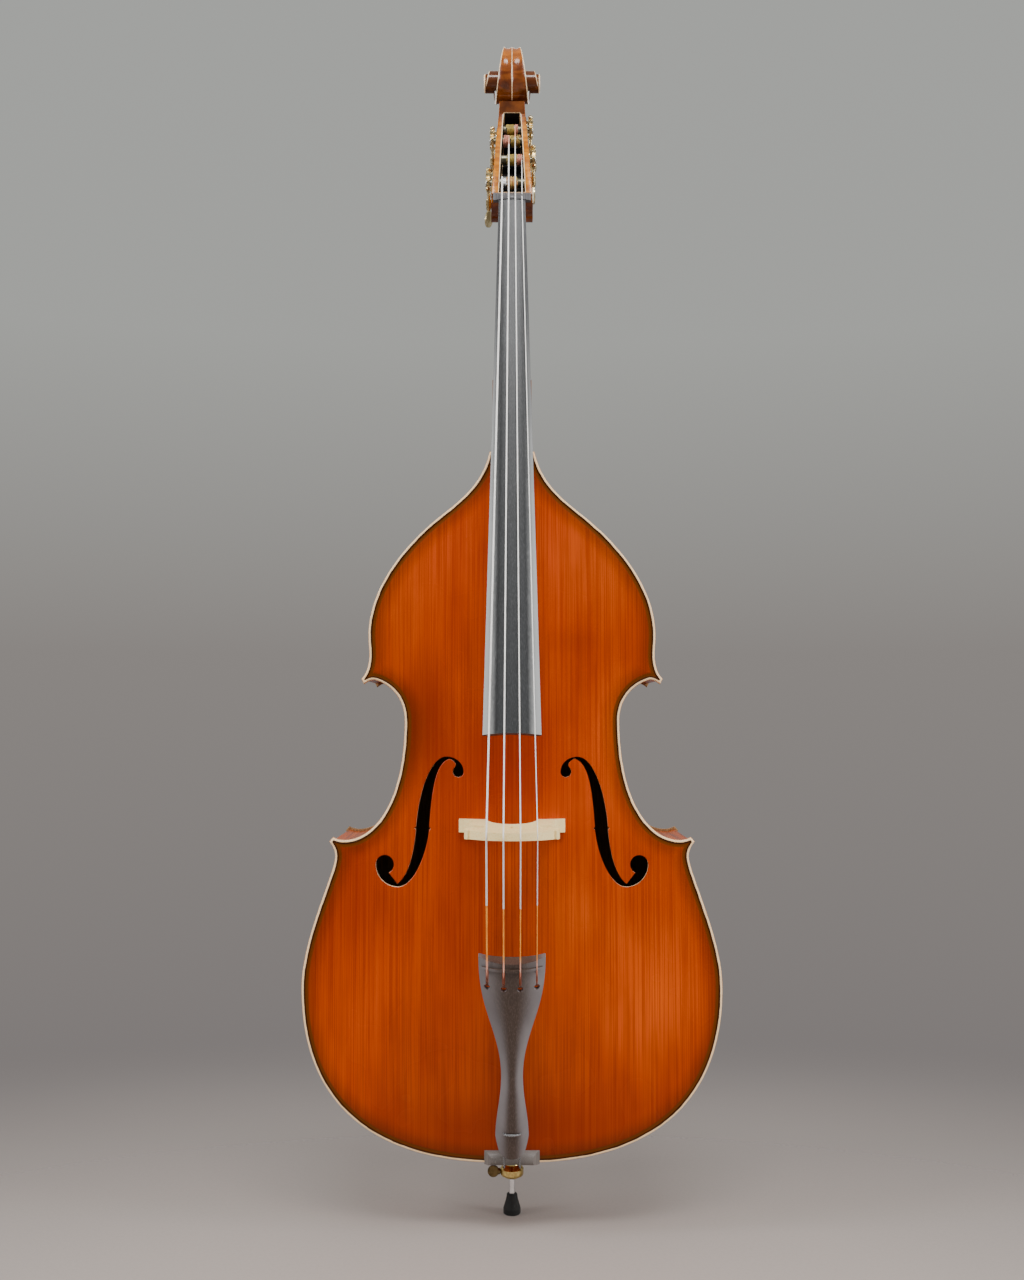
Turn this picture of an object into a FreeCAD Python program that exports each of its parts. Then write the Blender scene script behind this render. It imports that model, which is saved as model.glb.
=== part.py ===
"""A three-quarter size orchestral double bass, in millimetres.

+Z runs up the instrument, the strings face -Y and the bass (E) side is -X. The origin is the
middle of the rubber foot's lower face, on the endpin's axis. Each function below makes one
piece or one group of like pieces, and the last block writes one STEP file per node.
"""
import FreeCAD, Part
import math
import os
from FreeCAD import Matrix
from FreeCAD import Vector as V

# ---- driving dimensions ----------------------------------------------------------------------
BODY_Z = 116.0            # bottom edge of the body above the foot
BODY_LENGTH = 1118.0
LOWER_HALF, UPPER_HALF, WAIST_HALF = 330.0, 229.0, 170.5
FRONT_Y = -105.0          # outer face of the top at its edge
BACK_Y = 100.0            # outer face of the back at its edge, lower bout
BACK_TAPER = 28.0         # how much shallower the body is at the neck
PLATE = 7.0               # thickness of the top and the back
TOP_ARCH, BACK_ARCH = 33.0, 30.0
OVERHANG, RIB, LINING = 4.0, 2.5, 6.0
BRIDGE_Z, BRIDGE_Y = 636.0, -296.0       # crown of the bridge
BRIDGE_R, BRIDGE_THICK, BRIDGE_EDGE = 76.0, 21.0, 11.0
NUT_RISE, NUT_Z = 1.2, 1663.0            # height above the board; strings 1049 to the bridge
STRING_GAP_BRIDGE, STRING_GAP_NUT = 24.5, 11.0
STRING_RADII = (1.4, 1.15, 0.95, 0.75)   # E, A, D, G
STRING_NAMES = ("e", "a", "d", "g")
WINDINGS = ((7, 1), (4, -1), (5, -1), (5, -1))    # turns on each roller and their direction
BOARD_LENGTH, BOARD_NUT_W, BOARD_END_W, BOARD_R = 894.0, 44.0, 87.0, 75.0
BOARD_SLOPE = 11.35       # degrees that the board leans back from the body's plane
BOARD_Y, BOARD_Z = -81.0, 1660.0         # crown of the board at its nut end
FOOT_DEEP, BUTTON = 22.0, 21.0           # neck's foot in the body, button of the back above it
TAIL_LENGTH, TAIL_THICK, TAIL_SHELL = 337.0, 24.0, 8.0
TAIL_THIN, TAIL_BEVEL, TAIL_TIP = 8.0, 297.0, 3.5    # narrow end: thickness, thinned from, tip
TAIL_FRET, FRET_RISE, KEYHOLE = 16.0, 3.0, 47.0   # distances from the tailpiece's wide end
BALL_DEEP = 12.5             # middle of a string's ball below the tailpiece's front
WIRE_R, WIRE_HALF, WIRE_HOLE, WIRE_SLACK = 1.6, 12.2, 293.0, 0.35
SADDLE_HALF, SADDLE_HIGH, SADDLE_PROUD = 43.0, 20.0, 11.0
TAIL_TOP_Y, TAIL_TOP_Z = -236.6, 450.6   # front of the tailpiece's wide end
TAIL_SLOPE = 18.2         # degrees that the tailpiece leans
ROLLER_R, ROLLER_PLAY = 8.0, 0.08
ROLLER_Y, ROLLER_Z = -48.0, 1701.0       # the lowest roller
ROLLER_PLACES = (0.0, 100.0, 127.0, 55.0)    # E, A, D and G rollers, up the pegbox's line
ROLLER_SLOPE = 24.0       # degrees that the pegbox leans back
CHEEK_TILT = 3.5          # degrees that each cheek leans in towards the scroll
CHEEK_HALF = 32.0         # half width of the pegbox at the lowest roller
TROUGH_LOW, TROUGH_HIGH = -28.0, 148.0   # ends of the pegbox's trough, along its line
VOLUTE_Y, VOLUTE_Z = 15.0, 1906.0        # eye of the scroll
SCROLL_TURN = ((-90, 60), (-40, 60), (30, 60.5), (90, 60), (116, 58), (150, 52.5), (180, 47),
               (230, 39.5), (296, 33), (340, 29.5))    # (degrees, radius) of its outer turn
SCROLL_TOP_HALF, EYE_HALF = 14.5, 49.5
WHEEL_TEETH, WHEEL_FACE = 20, 5.0
WORM_PITCH, WORM_R = 4.5, 4.5            # the worm's pitch and pitch radius
WORM_OUT, WORM_SLANT = 7.8, 56.0         # height above the cheek, lean from the pegbox's line
SHAFT_R, SHAFT_PLAY = 3.1, 0.08
KEY_DROP, KEY_HALF = 62.0, 12.0          # middle of the key below the worm, its half width
KEY_TURNS = (28.0, 90.0, 62.0, 12.0)     # resting turns of the E, A, D and G keys
PIN_R, PIN_TOP, PIN_PLAY = 5.0, 440.0, 0.06
PLUG_R, SCREW_Z, SCREW_R = 14.0, 67.0, 3.5

FAR = 400.0               # reach of a cutting solid


# ---- general helpers -------------------------------------------------------------------------
def box(x, y, z):
    """A box from three (low, high) pairs."""
    return Part.makeBox(x[1] - x[0], y[1] - y[0], z[1] - z[0], V(x[0], y[0], z[0]))


def mirrored(shape):
    """The same shape on the other side of the middle plane."""
    return shape.mirror(V(0, 0, 0), V(1, 0, 0))


def fused(first, *rest):
    return first.fuse(list(rest)).removeSplitter()


def bezier(*points):
    curve = Part.BezierCurve()
    curve.setPoles([V(*p) if len(p) == 3 else V(p[0], 0, p[1]) for p in points])
    return curve.toShape()


def line(a, b):
    return Part.LineSegment(V(*a) if len(a) == 3 else V(a[0], 0, a[1]),
                            V(*b) if len(b) == 3 else V(b[0], 0, b[1])).toShape()


def wire_xz(segments):
    """A wire in the XZ plane from tuples of 2 points (a line) or 4 (a Bezier curve)."""
    edges = [line(*s) if len(s) == 2 else bezier(*s) for s in segments]
    return Part.Wire(Part.__sortEdges__(edges))


def prism(wire, y0, y1):
    """The area inside an XZ wire, extruded from y0 to y1."""
    face = Part.Face(wire)
    face.translate(V(0, y0, 0))
    return face.extrude(V(0, y1 - y0, 0))


def polygon_x(points, x0, x1):
    """A YZ outline extruded from x0 to x1; a 4-point entry is a Bezier curve."""
    edges = []
    for start, end in zip(points, points[1:] + points[:1]):
        a = start[-1] if isinstance(start[0], tuple) else start
        curve = end if isinstance(end[0], tuple) else (end,)
        poles = [V(x0, *p) for p in (a,) + tuple(curve)]
        if len(poles) == 2:
            edges.append(Part.LineSegment(*poles).toShape())
        else:
            bow = Part.BezierCurve()
            bow.setPoles(poles)
            edges.append(bow.toShape())
    return Part.Face(Part.Wire(edges)).extrude(V(x1 - x0, 0, 0))


def tube(points, radius, bend):
    """A round wire along straight runs joined by tangent arcs of radius bend (or a list)."""
    pts = [V(*p) for p in points]
    bends = bend if isinstance(bend, (list, tuple)) else [bend] * (len(pts) - 2)
    edges, start = [], pts[0]
    for before, corner, after, r in zip(pts, pts[1:], pts[2:], bends):
        a = (before - corner).normalize()
        b = (after - corner).normalize()
        half = a.getAngle(b) / 2
        reach = r / math.tan(half)
        middle = (a + b).normalize() * (r / math.sin(half))
        inner = corner + middle + (middle * -1).normalize() * r
        edges.append(Part.LineSegment(start, corner + a * reach).toShape())
        edges.append(Part.Arc(corner + a * reach, inner, corner + b * reach).toShape())
        start = corner + b * reach
    edges.append(Part.LineSegment(start, pts[-1]).toShape())
    path = Part.Wire(edges)
    ring = Part.Wire(Part.makeCircle(radius, pts[0], pts[1] - pts[0]))
    return path.makePipeShell([ring], True, True)


def rise(t):
    """A smooth step from 0 to 1."""
    t = min(max(t, 0.0), 1.0)
    return (1 - math.cos(math.pi * t)) / 2


# ---- outline and arching ---------------------------------------------------------------------
def half_outline():
    """Right half of the body's outline from the bottom up, z counted from the body's bottom."""
    low, up, waist = LOWER_HALF, UPPER_HALF, WAIST_HALF
    return [
        [(0, 0), (60, 0), (low, -10), (low, 270)],
        [(low, 270), (low, 345), (279, 446), (279, 472)],
        [(279, 472), (279, 482), (285, 490), (288.5, 495)],
        [(288.5, 495), (282.5, 502)],
        [(282.5, 502), (277, 499), (271, 497.5), (265, 497.5)],
        [(265, 497.5), (220, 497.5), (waist, 553), (waist, 684)],
        [(waist, 684), (waist, 736), (214, 750), (220, 750)],
        [(220, 750), (226, 750), (231, 747), (235.5, 743)],
        [(235.5, 743), (240, 752)],
        [(240, 752), (233, 758), (227.5, 772), (227.5, 790)],
        [(227.5, 790), (227.5, 800), (up, 809), (up, 822)],
        [(up, 822), (up, 900), (169, 969), (119, 1010)],
        [(119, 1010), (77, 1044), (48, 1066), (36, BODY_LENGTH)],
    ]


def outline():
    """The body's closed outline at its real height."""
    raised = [[(x, z + BODY_Z) for x, z in s] for s in half_outline()]
    other = [[(-x, z) for x, z in s] for s in raised]
    top = BODY_Z + BODY_LENGTH
    return wire_xz(raised + [[(36, top), (-36, top)]] + other)


ARCH_WIDTH = ((-60, 120), (0, 175), (60, 236), (150, 296), (262, 321), (400, 290), (500, 238),
              (590, 180), (670, 162), (750, 174), (830, 205), (900, 204), (960, 174),
              (1020, 112), (1080, 58), (1118, 42), (1180, 34))


def through(knots, z):
    """A smooth value at z through (place, value) knots, by cubic Hermite pieces."""
    k = 1
    while k < len(knots) - 2 and z > knots[k + 1][0]:
        k += 1
    (z0, v0), (z1, v1), (z2, v2), (z3, v3) = (knots[k - 1], knots[k], knots[min(k + 1, len(knots) - 1)],
                                              knots[min(k + 2, len(knots) - 1)])
    t = min(max((z - z1) / (z2 - z1), 0.0), 1.0)
    m1 = (v2 - v0) / (z2 - z0) * (z2 - z1)
    m2 = (v3 - v1) / (z3 - z1) * (z2 - z1)
    return ((2 * t ** 3 - 3 * t ** 2 + 1) * v1 + (t ** 3 - 2 * t ** 2 + t) * m1
            + (3 * t ** 2 - 2 * t ** 3) * v2 + (t ** 3 - t ** 2) * m2)


def arch(x, z, height):
    """Height of a plate's arching above its edge, z counted from the body's bottom."""
    across = min(abs(x) / through(ARCH_WIDTH, z), 1.0)
    along = rise(z / 300) * rise((BODY_LENGTH - z) / 330)
    return height * along * (1 + math.cos(math.pi * across)) / 2


def back_edge(z):
    """Outer face of the back at its edge, z counted from the body's bottom."""
    return BACK_Y - BACK_TAPER * rise((z - 650) / 520)


def sheet(depth):
    """A smooth face y = depth(x, z) that is wider than the body."""
    xs = [-350 + 700 * i / 28 for i in range(29)]
    zs = [-30 + (BODY_LENGTH + 70) * i / 44 for i in range(45)]
    grid = [[V(x, depth(x, z), z + BODY_Z) for z in zs] for x in xs]
    surface = Part.BSplineSurface()
    surface.interpolate(grid)
    return surface.toShape()


def top_sheet(inset):
    return sheet(lambda x, z: FRONT_Y - arch(x, z, TOP_ARCH) + inset)


def back_sheet(inset):
    return sheet(lambda x, z: back_edge(z) + arch(x, z, BACK_ARCH) - inset)


def inset(wire, distance):
    """The outline moved inwards, as plain spline curves."""
    loop = wire.makeOffset2D(-distance, 0, False, False, False)
    return Part.Wire(Part.__sortEdges__(loop.toNurbs().Edges))


def ring(wire, near, far):
    """The band of ground between two distances inside the outline, as a tall wall."""
    wall = prism(inset(wire, near), -FAR / 2, FAR / 2)
    return wall.cut(prism(inset(wire, far), -FAR / 2 - 1, FAR / 2 + 1))


# ---- sound box -------------------------------------------------------------------------------
def f_hole():
    """The right sound hole, cut along the depth."""
    eye = (84.5, 721.5, 8.6)
    pool = (200.0, 576.0, 14.5)
    segments = [
        [(76, 721.5), (76, 735), (88, 744.8), (103, 744.8)],
        [(103, 744.8), (128, 745), (147, 693), (151, 635)],
        [(151, 635), (154, 633)],
        [(154, 633), (151, 631)],
        [(151, 631), (153.5, 600), (160, 562), (179.4, 546.3)],
        [(179.4, 546.3), (193.5, 563.1)],
        [(214.5, 576), (214.5, 556), (198, 541.4), (179.4, 541.4)],
        [(179.4, 541.4), (155, 541.4), (134, 590), (130, 631)],
        [(130, 631), (127, 633)],
        [(127, 633), (130, 635)],
        [(130, 635), (126.5, 690), (122, 735), (98.4, 741.5)],
        [(98.4, 741.5), (94, 740), (88, 736), (88.5, 731)],
        [(88.5, 731), (89.5, 728.4), (93.1, 727), (93.1, 721.5)],
    ]
    edges = [line(*s) if len(s) == 2 else bezier(*s) for s in segments]
    low_eye = Part.Arc(V(193.5, 0, 563.1), V(pool[0] - 8, 0, pool[1] + 12.09), V(214.5, 0, 576))
    high_eye = Part.Arc(V(93.1, 0, eye[1]), V(eye[0], 0, eye[1] - eye[2]), V(76, 0, eye[1]))
    wire = Part.Wire(Part.__sortEdges__(edges + [low_eye.toShape(), high_eye.toShape()]))
    return prism(wire, -FAR / 2, 0)


def mortise():
    """The pocket at the top of the body that the neck's foot fills."""
    return box((-29, 29), (-FAR / 2, 80), (BODY_Z + BODY_LENGTH - FOOT_DEEP, BODY_Z + BODY_LENGTH + 60))


def saddle_block():
    return box((-SADDLE_HALF, SADDLE_HALF), (FRONT_Y - SADDLE_PROUD, FRONT_Y + 16),
               (BODY_Z - 1, BODY_Z + SADDLE_HIGH))


def top_plate(wire):
    slab = top_sheet(0).extrude(V(0, PLATE, 0))
    plate = slab.common(prism(wire, -FAR / 2, 0))
    hole = f_hole()
    return plate.cut([hole, mirrored(hole), mortise(), saddle_block()])


def back_plate(wire):
    slab = back_sheet(0).extrude(V(0, -PLATE, 0))
    button_top = BODY_Z + BODY_LENGTH + BUTTON
    button = wire_xz([
        [(-21, button_top - 40), (-21, button_top - 21)],
        [(-21, button_top - 21), (-21, button_top - 8), (-12, button_top), (0, button_top)],
        [(0, button_top), (12, button_top), (21, button_top - 8), (21, button_top - 21)],
        [(21, button_top - 21), (21, button_top - 40)],
        [(21, button_top - 40), (-21, button_top - 40)]])
    shape = fused(prism(wire, 0, FAR / 2), prism(button, 0, FAR / 2))
    return slab.common(shape)


def inside_of_plates():
    """Everything in front of the top's inner face and behind the back's, to be cut away."""
    ahead = top_sheet(PLATE).extrude(V(0, -FAR, 0))
    behind = back_sheet(PLATE).extrude(V(0, FAR, 0))
    return [ahead, behind]


LOW_TIP, HIGH_TIP = (285.5, 498.5 + BODY_Z), (237.5, 747.5 + BODY_Z)


def waist_sector():
    """The right-hand area between the mitres of the two corners."""
    low_in, high_in = (-0.756, -0.655), (-0.70, 0.714)
    points = [(LOW_TIP[0] - 60 * low_in[0], LOW_TIP[1] - 60 * low_in[1]),
              (LOW_TIP[0] + 90 * low_in[0], LOW_TIP[1] + 90 * low_in[1]),
              (60, LOW_TIP[1]), (60, HIGH_TIP[1]),
              (HIGH_TIP[0] + 90 * high_in[0], HIGH_TIP[1] + 90 * high_in[1]),
              (HIGH_TIP[0] - 60 * high_in[0], HIGH_TIP[1] - 60 * high_in[1])]
    wire = wire_xz([[a, b] for a, b in zip(points, points[1:] + points[:1])])
    return prism(wire, -FAR / 2, FAR / 2)


def ribs(wire, away):
    """The three right-hand ribs: lower bout, waist and upper bout."""
    wall = ring(wire, OVERHANG, OVERHANG + RIB).cut(away + [mortise(), saddle_block()])
    middle = waist_sector()
    split = BODY_Z + 620
    low = wall.common(box((0, 400), (-200, 200), (BODY_Z - 5, split))).cut(middle)
    high = wall.common(box((0, 400), (-200, 200), (split, BODY_Z + 1200))).cut(middle)
    plug = Part.makeCylinder(PLUG_R + 0.05, 60, V(0, 0, BODY_Z - 20))
    return {"lower": low.cut(plug), "waist": wall.common(middle), "upper": high}


def block_area():
    """Plans of the four right-hand and middle blocks that carry the joints of the ribs."""
    low = Part.makeCylinder(62, FAR, V(LOW_TIP[0] - 12, -FAR / 2, LOW_TIP[1] - 6), V(0, 1, 0))
    high = Part.makeCylinder(58, FAR, V(HIGH_TIP[0] - 12, -FAR / 2, HIGH_TIP[1] + 6), V(0, 1, 0))
    bottom = box((-75, 75), (-200, 200), (BODY_Z, BODY_Z + 34))
    top = box((-80, 80), (-200, 200), (BODY_Z + BODY_LENGTH - 95, BODY_Z + BODY_LENGTH))
    return {"low": low, "high": high, "bottom": bottom, "top": top}


def blocks(room):
    area = block_area()
    made = {name: room.common(plan) for name, plan in area.items()}
    plug_hole = Part.makeCylinder(PLUG_R + 0.05, 80, V(0, 0, BODY_Z - 20))
    made["bottom"] = made["bottom"].cut([plug_hole, saddle_block()])
    made["top"] = made["top"].cut(mortise())
    return made


def linings(wire, away, depth_range):
    """Strips that widen the glue joint between the ribs and one plate."""
    band = ring(wire, OVERHANG + RIB, OVERHANG + RIB + LINING).cut(away)
    area = block_area()
    cuts = list(area.values()) + [mirrored(area["low"]), mirrored(area["high"])]
    return band.common(depth_range).cut(cuts)


def back_lining_range():
    """The 18 mm nearest the back, which follows the body's taper."""
    near = sheet(lambda x, z: back_edge(z) - PLATE - 18)
    return near.extrude(V(0, 60, 0))


def bass_bar(away):
    """The bar glued under the bass foot of the bridge, cut to the top's inner face."""
    low, high = BODY_Z + 150, BODY_Z + BODY_LENGTH - 190
    side = polygon_x([(-150, low), (-104, low), ((-104, low), (-84, low + 150), (-84, 560)),
                      (-84, 700), ((-84, 830), (-98, high - 160), (-104, high)), (-150, high)],
                     -56, -32)
    return side.cut(away[0])


def sound_post(away):
    post = Part.makeCylinder(9, FAR, V(60, -FAR / 2, BRIDGE_Z - 24), V(0, 1, 0))
    return post.cut(away)


# ---- neck, head and fingerboard --------------------------------------------------------------
def on_board(shape):
    """From the board's own frame (origin at its nut end, +z up the board) into place."""
    shape.rotate(V(0, 0, 0), V(1, 0, 0), -BOARD_SLOPE)
    shape.translate(V(0, BOARD_Y, BOARD_Z))
    return shape


def board_width(z):
    """Width of the board at z, which is 0 at the nut and negative below it."""
    return BOARD_NUT_W + (BOARD_END_W - BOARD_NUT_W) * -z / BOARD_LENGTH


def board_sole(z):
    """Depth of the board's glue face behind its crown."""
    return 12.5 + 10.5 * -z / BOARD_LENGTH


def crown_drop(half):
    return BOARD_R - math.sqrt(BOARD_R ** 2 - half ** 2)


def fingerboard():
    def section(z):
        half, sole = board_width(z) / 2, board_sole(z)
        drop = crown_drop(half)
        return Part.Wire([
            Part.Arc(V(-half, drop, z), V(0, 0, z), V(half, drop, z)).toShape(),
            Part.LineSegment(V(half, drop, z), V(half, sole, z)).toShape(),
            Part.LineSegment(V(half, sole, z), V(-half, sole, z)).toShape(),
            Part.LineSegment(V(-half, sole, z), V(-half, drop, z)).toShape()])
    board = Part.makeLoft([section(0), section(-BOARD_LENGTH)], True, True)
    hollow = Part.makeCylinder(46, BOARD_LENGTH, V(0, 59, -BOARD_LENGTH - 1))
    hollow = hollow.common(box((-36, 36), (0, 80), (-BOARD_LENGTH - 1, -480)))
    return on_board(board.cut(hollow))


def nut():
    """The hard block over which the strings leave the board, as wide as the pegbox."""
    low, high, front = BOARD_Z + 0.2, BOARD_Z + 14.2, BOARD_Y - NUT_RISE
    blank = polygon_x([(-58, low), (front, low), (front, NUT_Z),
                       ((front, NUT_Z + 4), (-77, high - 4), (-73, high)), (-58, high)],
                      -31.5, 31.5)
    crown = Part.makeCylinder(BOARD_R + NUT_RISE, 30, V(0, BOARD_Y + BOARD_R, low - 5))
    return blank.common(crown)


def neck_shaft():
    """The half-round neck behind the board."""
    def section(z, depth):
        half, sole = board_width(z) / 2, board_sole(z)
        back = Part.Arc(V(-half, sole, z), V(0, sole + depth, z), V(half, sole, z))
        flat = Part.LineSegment(V(half, sole, z), V(-half, sole, z))
        return Part.Wire([back.toShape(), flat.toShape()])
    return on_board(Part.makeLoft([section(0, 27), section(-440, 33)], True, True))


def heel():
    """The neck's foot: it fills the mortise and runs through to the back and its button."""
    low, body_top = BODY_Z + BODY_LENGTH - FOOT_DEEP, BODY_Z + BODY_LENGTH
    slope = math.radians(BOARD_SLOPE)

    def sole_y(z):
        along = (z - BOARD_Z) / math.cos(slope)
        return BOARD_Y + (z - BOARD_Z) * math.tan(slope) + board_sole(along) / math.cos(slope)
    high, end = body_top + 110, body_top + BUTTON
    side = polygon_x([(sole_y(low), low), (80, low), (80, end),
                      ((10, end), (-78, end + 7), (sole_y(high) + 24, high)),
                      (sole_y(high), high)], -31, 31)
    side = side.cut(back_sheet(PLATE).extrude(V(0, FAR, 0)))
    plan = Part.Face(Part.makePolygon([V(-32, -160, 0), V(32, -160, 0), V(30, -60, 0), V(19, 66, 0),
                                       V(19, 90, 0), V(-19, 90, 0), V(-19, 66, 0), V(-30, -60, 0),
                                       V(-32, -160, 0)]))
    plan.translate(V(0, 0, body_top))
    shoulders = side.common(plan.extrude(V(0, 0, 160)))
    foot = side.common(box((-29, 29), (-170, 90), (low, body_top)))
    return fused(shoulders, foot)


def lean(t, b):
    """A point in the pegbox's side view: t up its line from the lowest roller, b to the back."""
    a = math.radians(ROLLER_SLOPE)
    return (ROLLER_Y + t * math.sin(a) + b * math.cos(a),
            ROLLER_Z + t * math.cos(a) - b * math.sin(a))


def cheek_half(t):
    """Half width of the pegbox at t up its line."""
    return CHEEK_HALF - t * math.tan(math.radians(CHEEK_TILT))


def pegbox():
    """Side view of the pegbox with its chin, its cheeks drawn in towards the scroll."""
    side = polygon_x([(-68, 1661), (-46, 1652),
                      ((-40, 1640), (-14, 1636), (-11, 1662)),
                      ((-9, 1690), lean(60, 31), lean(95, 28)),
                      (lean(130, 25), lean(160, 28), (62, 1868)),
                      (-4, 1866), lean(145, -19), lean(60, -19), (-67, 1676)], -40, 40)
    wedge = []
    for t, b in ((-75, -40), (-75, 90), (260, 90), (260, -40)):
        y, z = lean(t, b)
        wedge.append((cheek_half(t), y, z))
    right = [V(x, y, z) for x, y, z in wedge]
    left = [V(-x, y, z) for x, y, z in wedge]
    faces = [Part.Face(Part.makePolygon(loop + loop[:1])) for loop in
             (right, left[::-1], [right[0], left[0], left[1], right[1]],
              [right[1], left[1], left[2], right[2]], [right[2], left[2], left[3], right[3]],
              [right[3], left[3], left[0], right[0]])]
    return side.common(Part.Solid(Part.Shell(faces)))


def pegbox_hollow():
    """The open trough between the cheeks."""
    front, rear = -60.0, 17.0
    loops = []
    for t, wall in ((TROUGH_LOW, 9.5), (TROUGH_HIGH, 7.5)):
        half = cheek_half(t) - wall
        corners = []
        for x, b in ((-half, front), (half, front), (half * 0.86, rear), (-half * 0.86, rear)):
            y, z = lean(t, b)
            corners.append(V(x, y, z))
        loops.append(Part.makePolygon(corners + corners[:1]))
    return Part.makeLoft(loops, True, True)


def spiral_point(degrees):
    """A point on the scroll's outer turn, by its angle from the back over the top."""
    r, a = through(SCROLL_TURN, degrees), math.radians(degrees)
    return V(0, VOLUTE_Y + r * math.cos(a), VOLUTE_Z + r * math.sin(a))


def scroll():
    """The volute: an outer turn that widens as it winds in, a wider inner turn and the eye."""
    first, last = -38, 296
    curve = Part.BSplineCurve()
    curve.interpolate([spiral_point(first + (last - first) * i / 24) for i in range(25)])
    throat = [spiral_point(last), V(0, 40, 1866), spiral_point(first)]
    close = [Part.LineSegment(a, b).toShape() for a, b in zip(throat, throat[1:])]
    side = Part.Face(Part.Wire([curve.toShape()] + close))
    side.translate(V(-50, 0, 0))
    disc = side.extrude(V(100, 0, 0))
    crest = VOLUTE_Z + 56

    def tapered(low_half, low, ys):
        plan = [(-low_half, low), (low_half, low), (SCROLL_TOP_HALF, crest),
                (SCROLL_TOP_HALF, crest + 9), (-SCROLL_TOP_HALF, crest + 9), (-SCROLL_TOP_HALF, crest)]
        return prism(wire_xz([[a, b] for a, b in zip(plan, plan[1:] + plan[:1])]), *ys)
    front = disc.common(tapered(29.5, VOLUTE_Z - 36, (-100, VOLUTE_Y)))
    rear = disc.common(tapered(21.8, VOLUTE_Z - 48, (VOLUTE_Y, 120)))
    turn = Part.makeCylinder(28, 68, V(-34, VOLUTE_Y, VOLUTE_Z), V(1, 0, 0))
    eye = Part.makeCylinder(16, 2 * EYE_HALF, V(-EYE_HALF, VOLUTE_Y, VOLUTE_Z), V(1, 0, 0))
    return fused(front, rear, turn, eye)


def neck_and_scroll():
    """One length of maple: foot, neck, pegbox and scroll, with the rollers' holes."""
    whole = fused(neck_shaft(), heel())
    head = fused(pegbox().cut(pegbox_hollow()), scroll())
    whole = whole.fuse(head).cut(box((-45, 45), (-130, -58), (BOARD_Z + 0.2, BOARD_Z + 14.2)))
    holes = [place_machine(Part.makeCylinder(ROLLER_R + ROLLER_PLAY, 140, V(0, 0, -90)), k)
             for k in range(4)]
    return whole.cut(holes + screw_holes() + [fingerboard()]).removeSplitter()


# ---- tuning machines -------------------------------------------------------------------------
WHEEL_R = WHEEL_TEETH * WORM_PITCH / (2 * math.pi)
CENTRES = WHEEL_R + WORM_R
PLATE_T, SCREW_DEEP = 1.8, 6.5            # thickness of a machine's plate, depth of its screws


def place_machine(shape, k, tilt=0.0):
    """From a machine's own frame into place for string k.

    Its own frame has the roller's axis as +z pointing out of the cheek, +y up the pegbox and
    +x to its back, with the cheek's face at z 0. The E and A machines sit on the left cheek.
    With the cheek's tilt given, the shape lies flat on the cheek.
    """
    t = ROLLER_PLACES[k]
    a, lay = math.radians(ROLLER_SLOPE), math.radians(tilt)
    up = V(0, math.sin(a), math.cos(a))
    back = V(0, math.cos(a), -math.sin(a))
    out = V(math.cos(lay), 0, 0) + up * math.sin(lay)
    along = up * math.cos(lay) - V(math.sin(lay), 0, 0)
    y, z = lean(t, 0)
    m = Matrix(back.x, along.x, out.x, cheek_half(t), back.y, along.y, out.y, y,
               back.z, along.z, out.z, z, 0, 0, 0, 1)
    placed = shape.copy()
    placed.transformShape(m, True)
    return mirrored(placed) if k < 2 else placed


def place_worm(shape):
    """From the worm's frame, with its axis as z and the wheel towards +x, into the machine's."""
    a = math.radians(WORM_SLANT)
    c, s = math.cos(a), math.sin(a)
    m = Matrix(-c, 0, -s, CENTRES * c, -s, 0, c, CENTRES * s, 0, 1, 0, WORM_OUT, 0, 0, 0, 1)
    placed = shape.copy()
    placed.transformShape(m, True)
    return placed


def wheel():
    """The worm wheel: slanted straight-flanked teeth, five lightening holes and a bore."""
    lead = math.atan(WORM_PITCH / (2 * math.pi * WORM_R))
    half_twist = WHEEL_FACE / 2 * math.tan(lead) / WHEEL_R
    root, tip, slack, flank = WHEEL_R - 1.6, WHEEL_R + 1.1, 0.6, math.tan(math.radians(20))

    def section(z, twist):
        points = []
        for n in range(WHEEL_TEETH):
            middle = math.radians(WORM_SLANT) + twist + (n + 0.5) * 2 * math.pi / WHEEL_TEETH
            for r, side in ((root, -1), (tip, -1), (tip, 1), (root, 1)):
                half = (WORM_PITCH / 2 - slack) / 2 - (r - WHEEL_R) * flank
                angle = middle + side * half / r
                points.append(V(r * math.cos(angle), r * math.sin(angle), z))
        return Part.makePolygon(points + points[:1])
    low, high = WORM_OUT - WHEEL_FACE / 2, WORM_OUT + WHEEL_FACE / 2
    rim = Part.makeLoft([section(low, -half_twist), section(high, half_twist)], True, True)
    holes = [Part.makeCylinder(1.7, 20, V(8.6 * math.cos(2 * math.pi * n / 5),
                                          8.6 * math.sin(2 * math.pi * n / 5), 0)) for n in range(5)]
    return rim.cut(holes + [Part.makeCylinder(4, 20)])


def wheel_screw():
    head_z = WORM_OUT + WHEEL_FACE / 2
    head = Part.makeCylinder(5.2, 1.9, V(0, 0, head_z))
    head = head.makeFillet(0.9, [e for e in head.Edges if e.BoundBox.ZMin > head_z + 1])
    slot = box((-6, 6), (-0.6, 0.6), (head_z + 1.0, head_z + 3))
    return fused(head, Part.makeCylinder(1.6, 7, V(0, 0, head_z - 7))).cut(slot)


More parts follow.
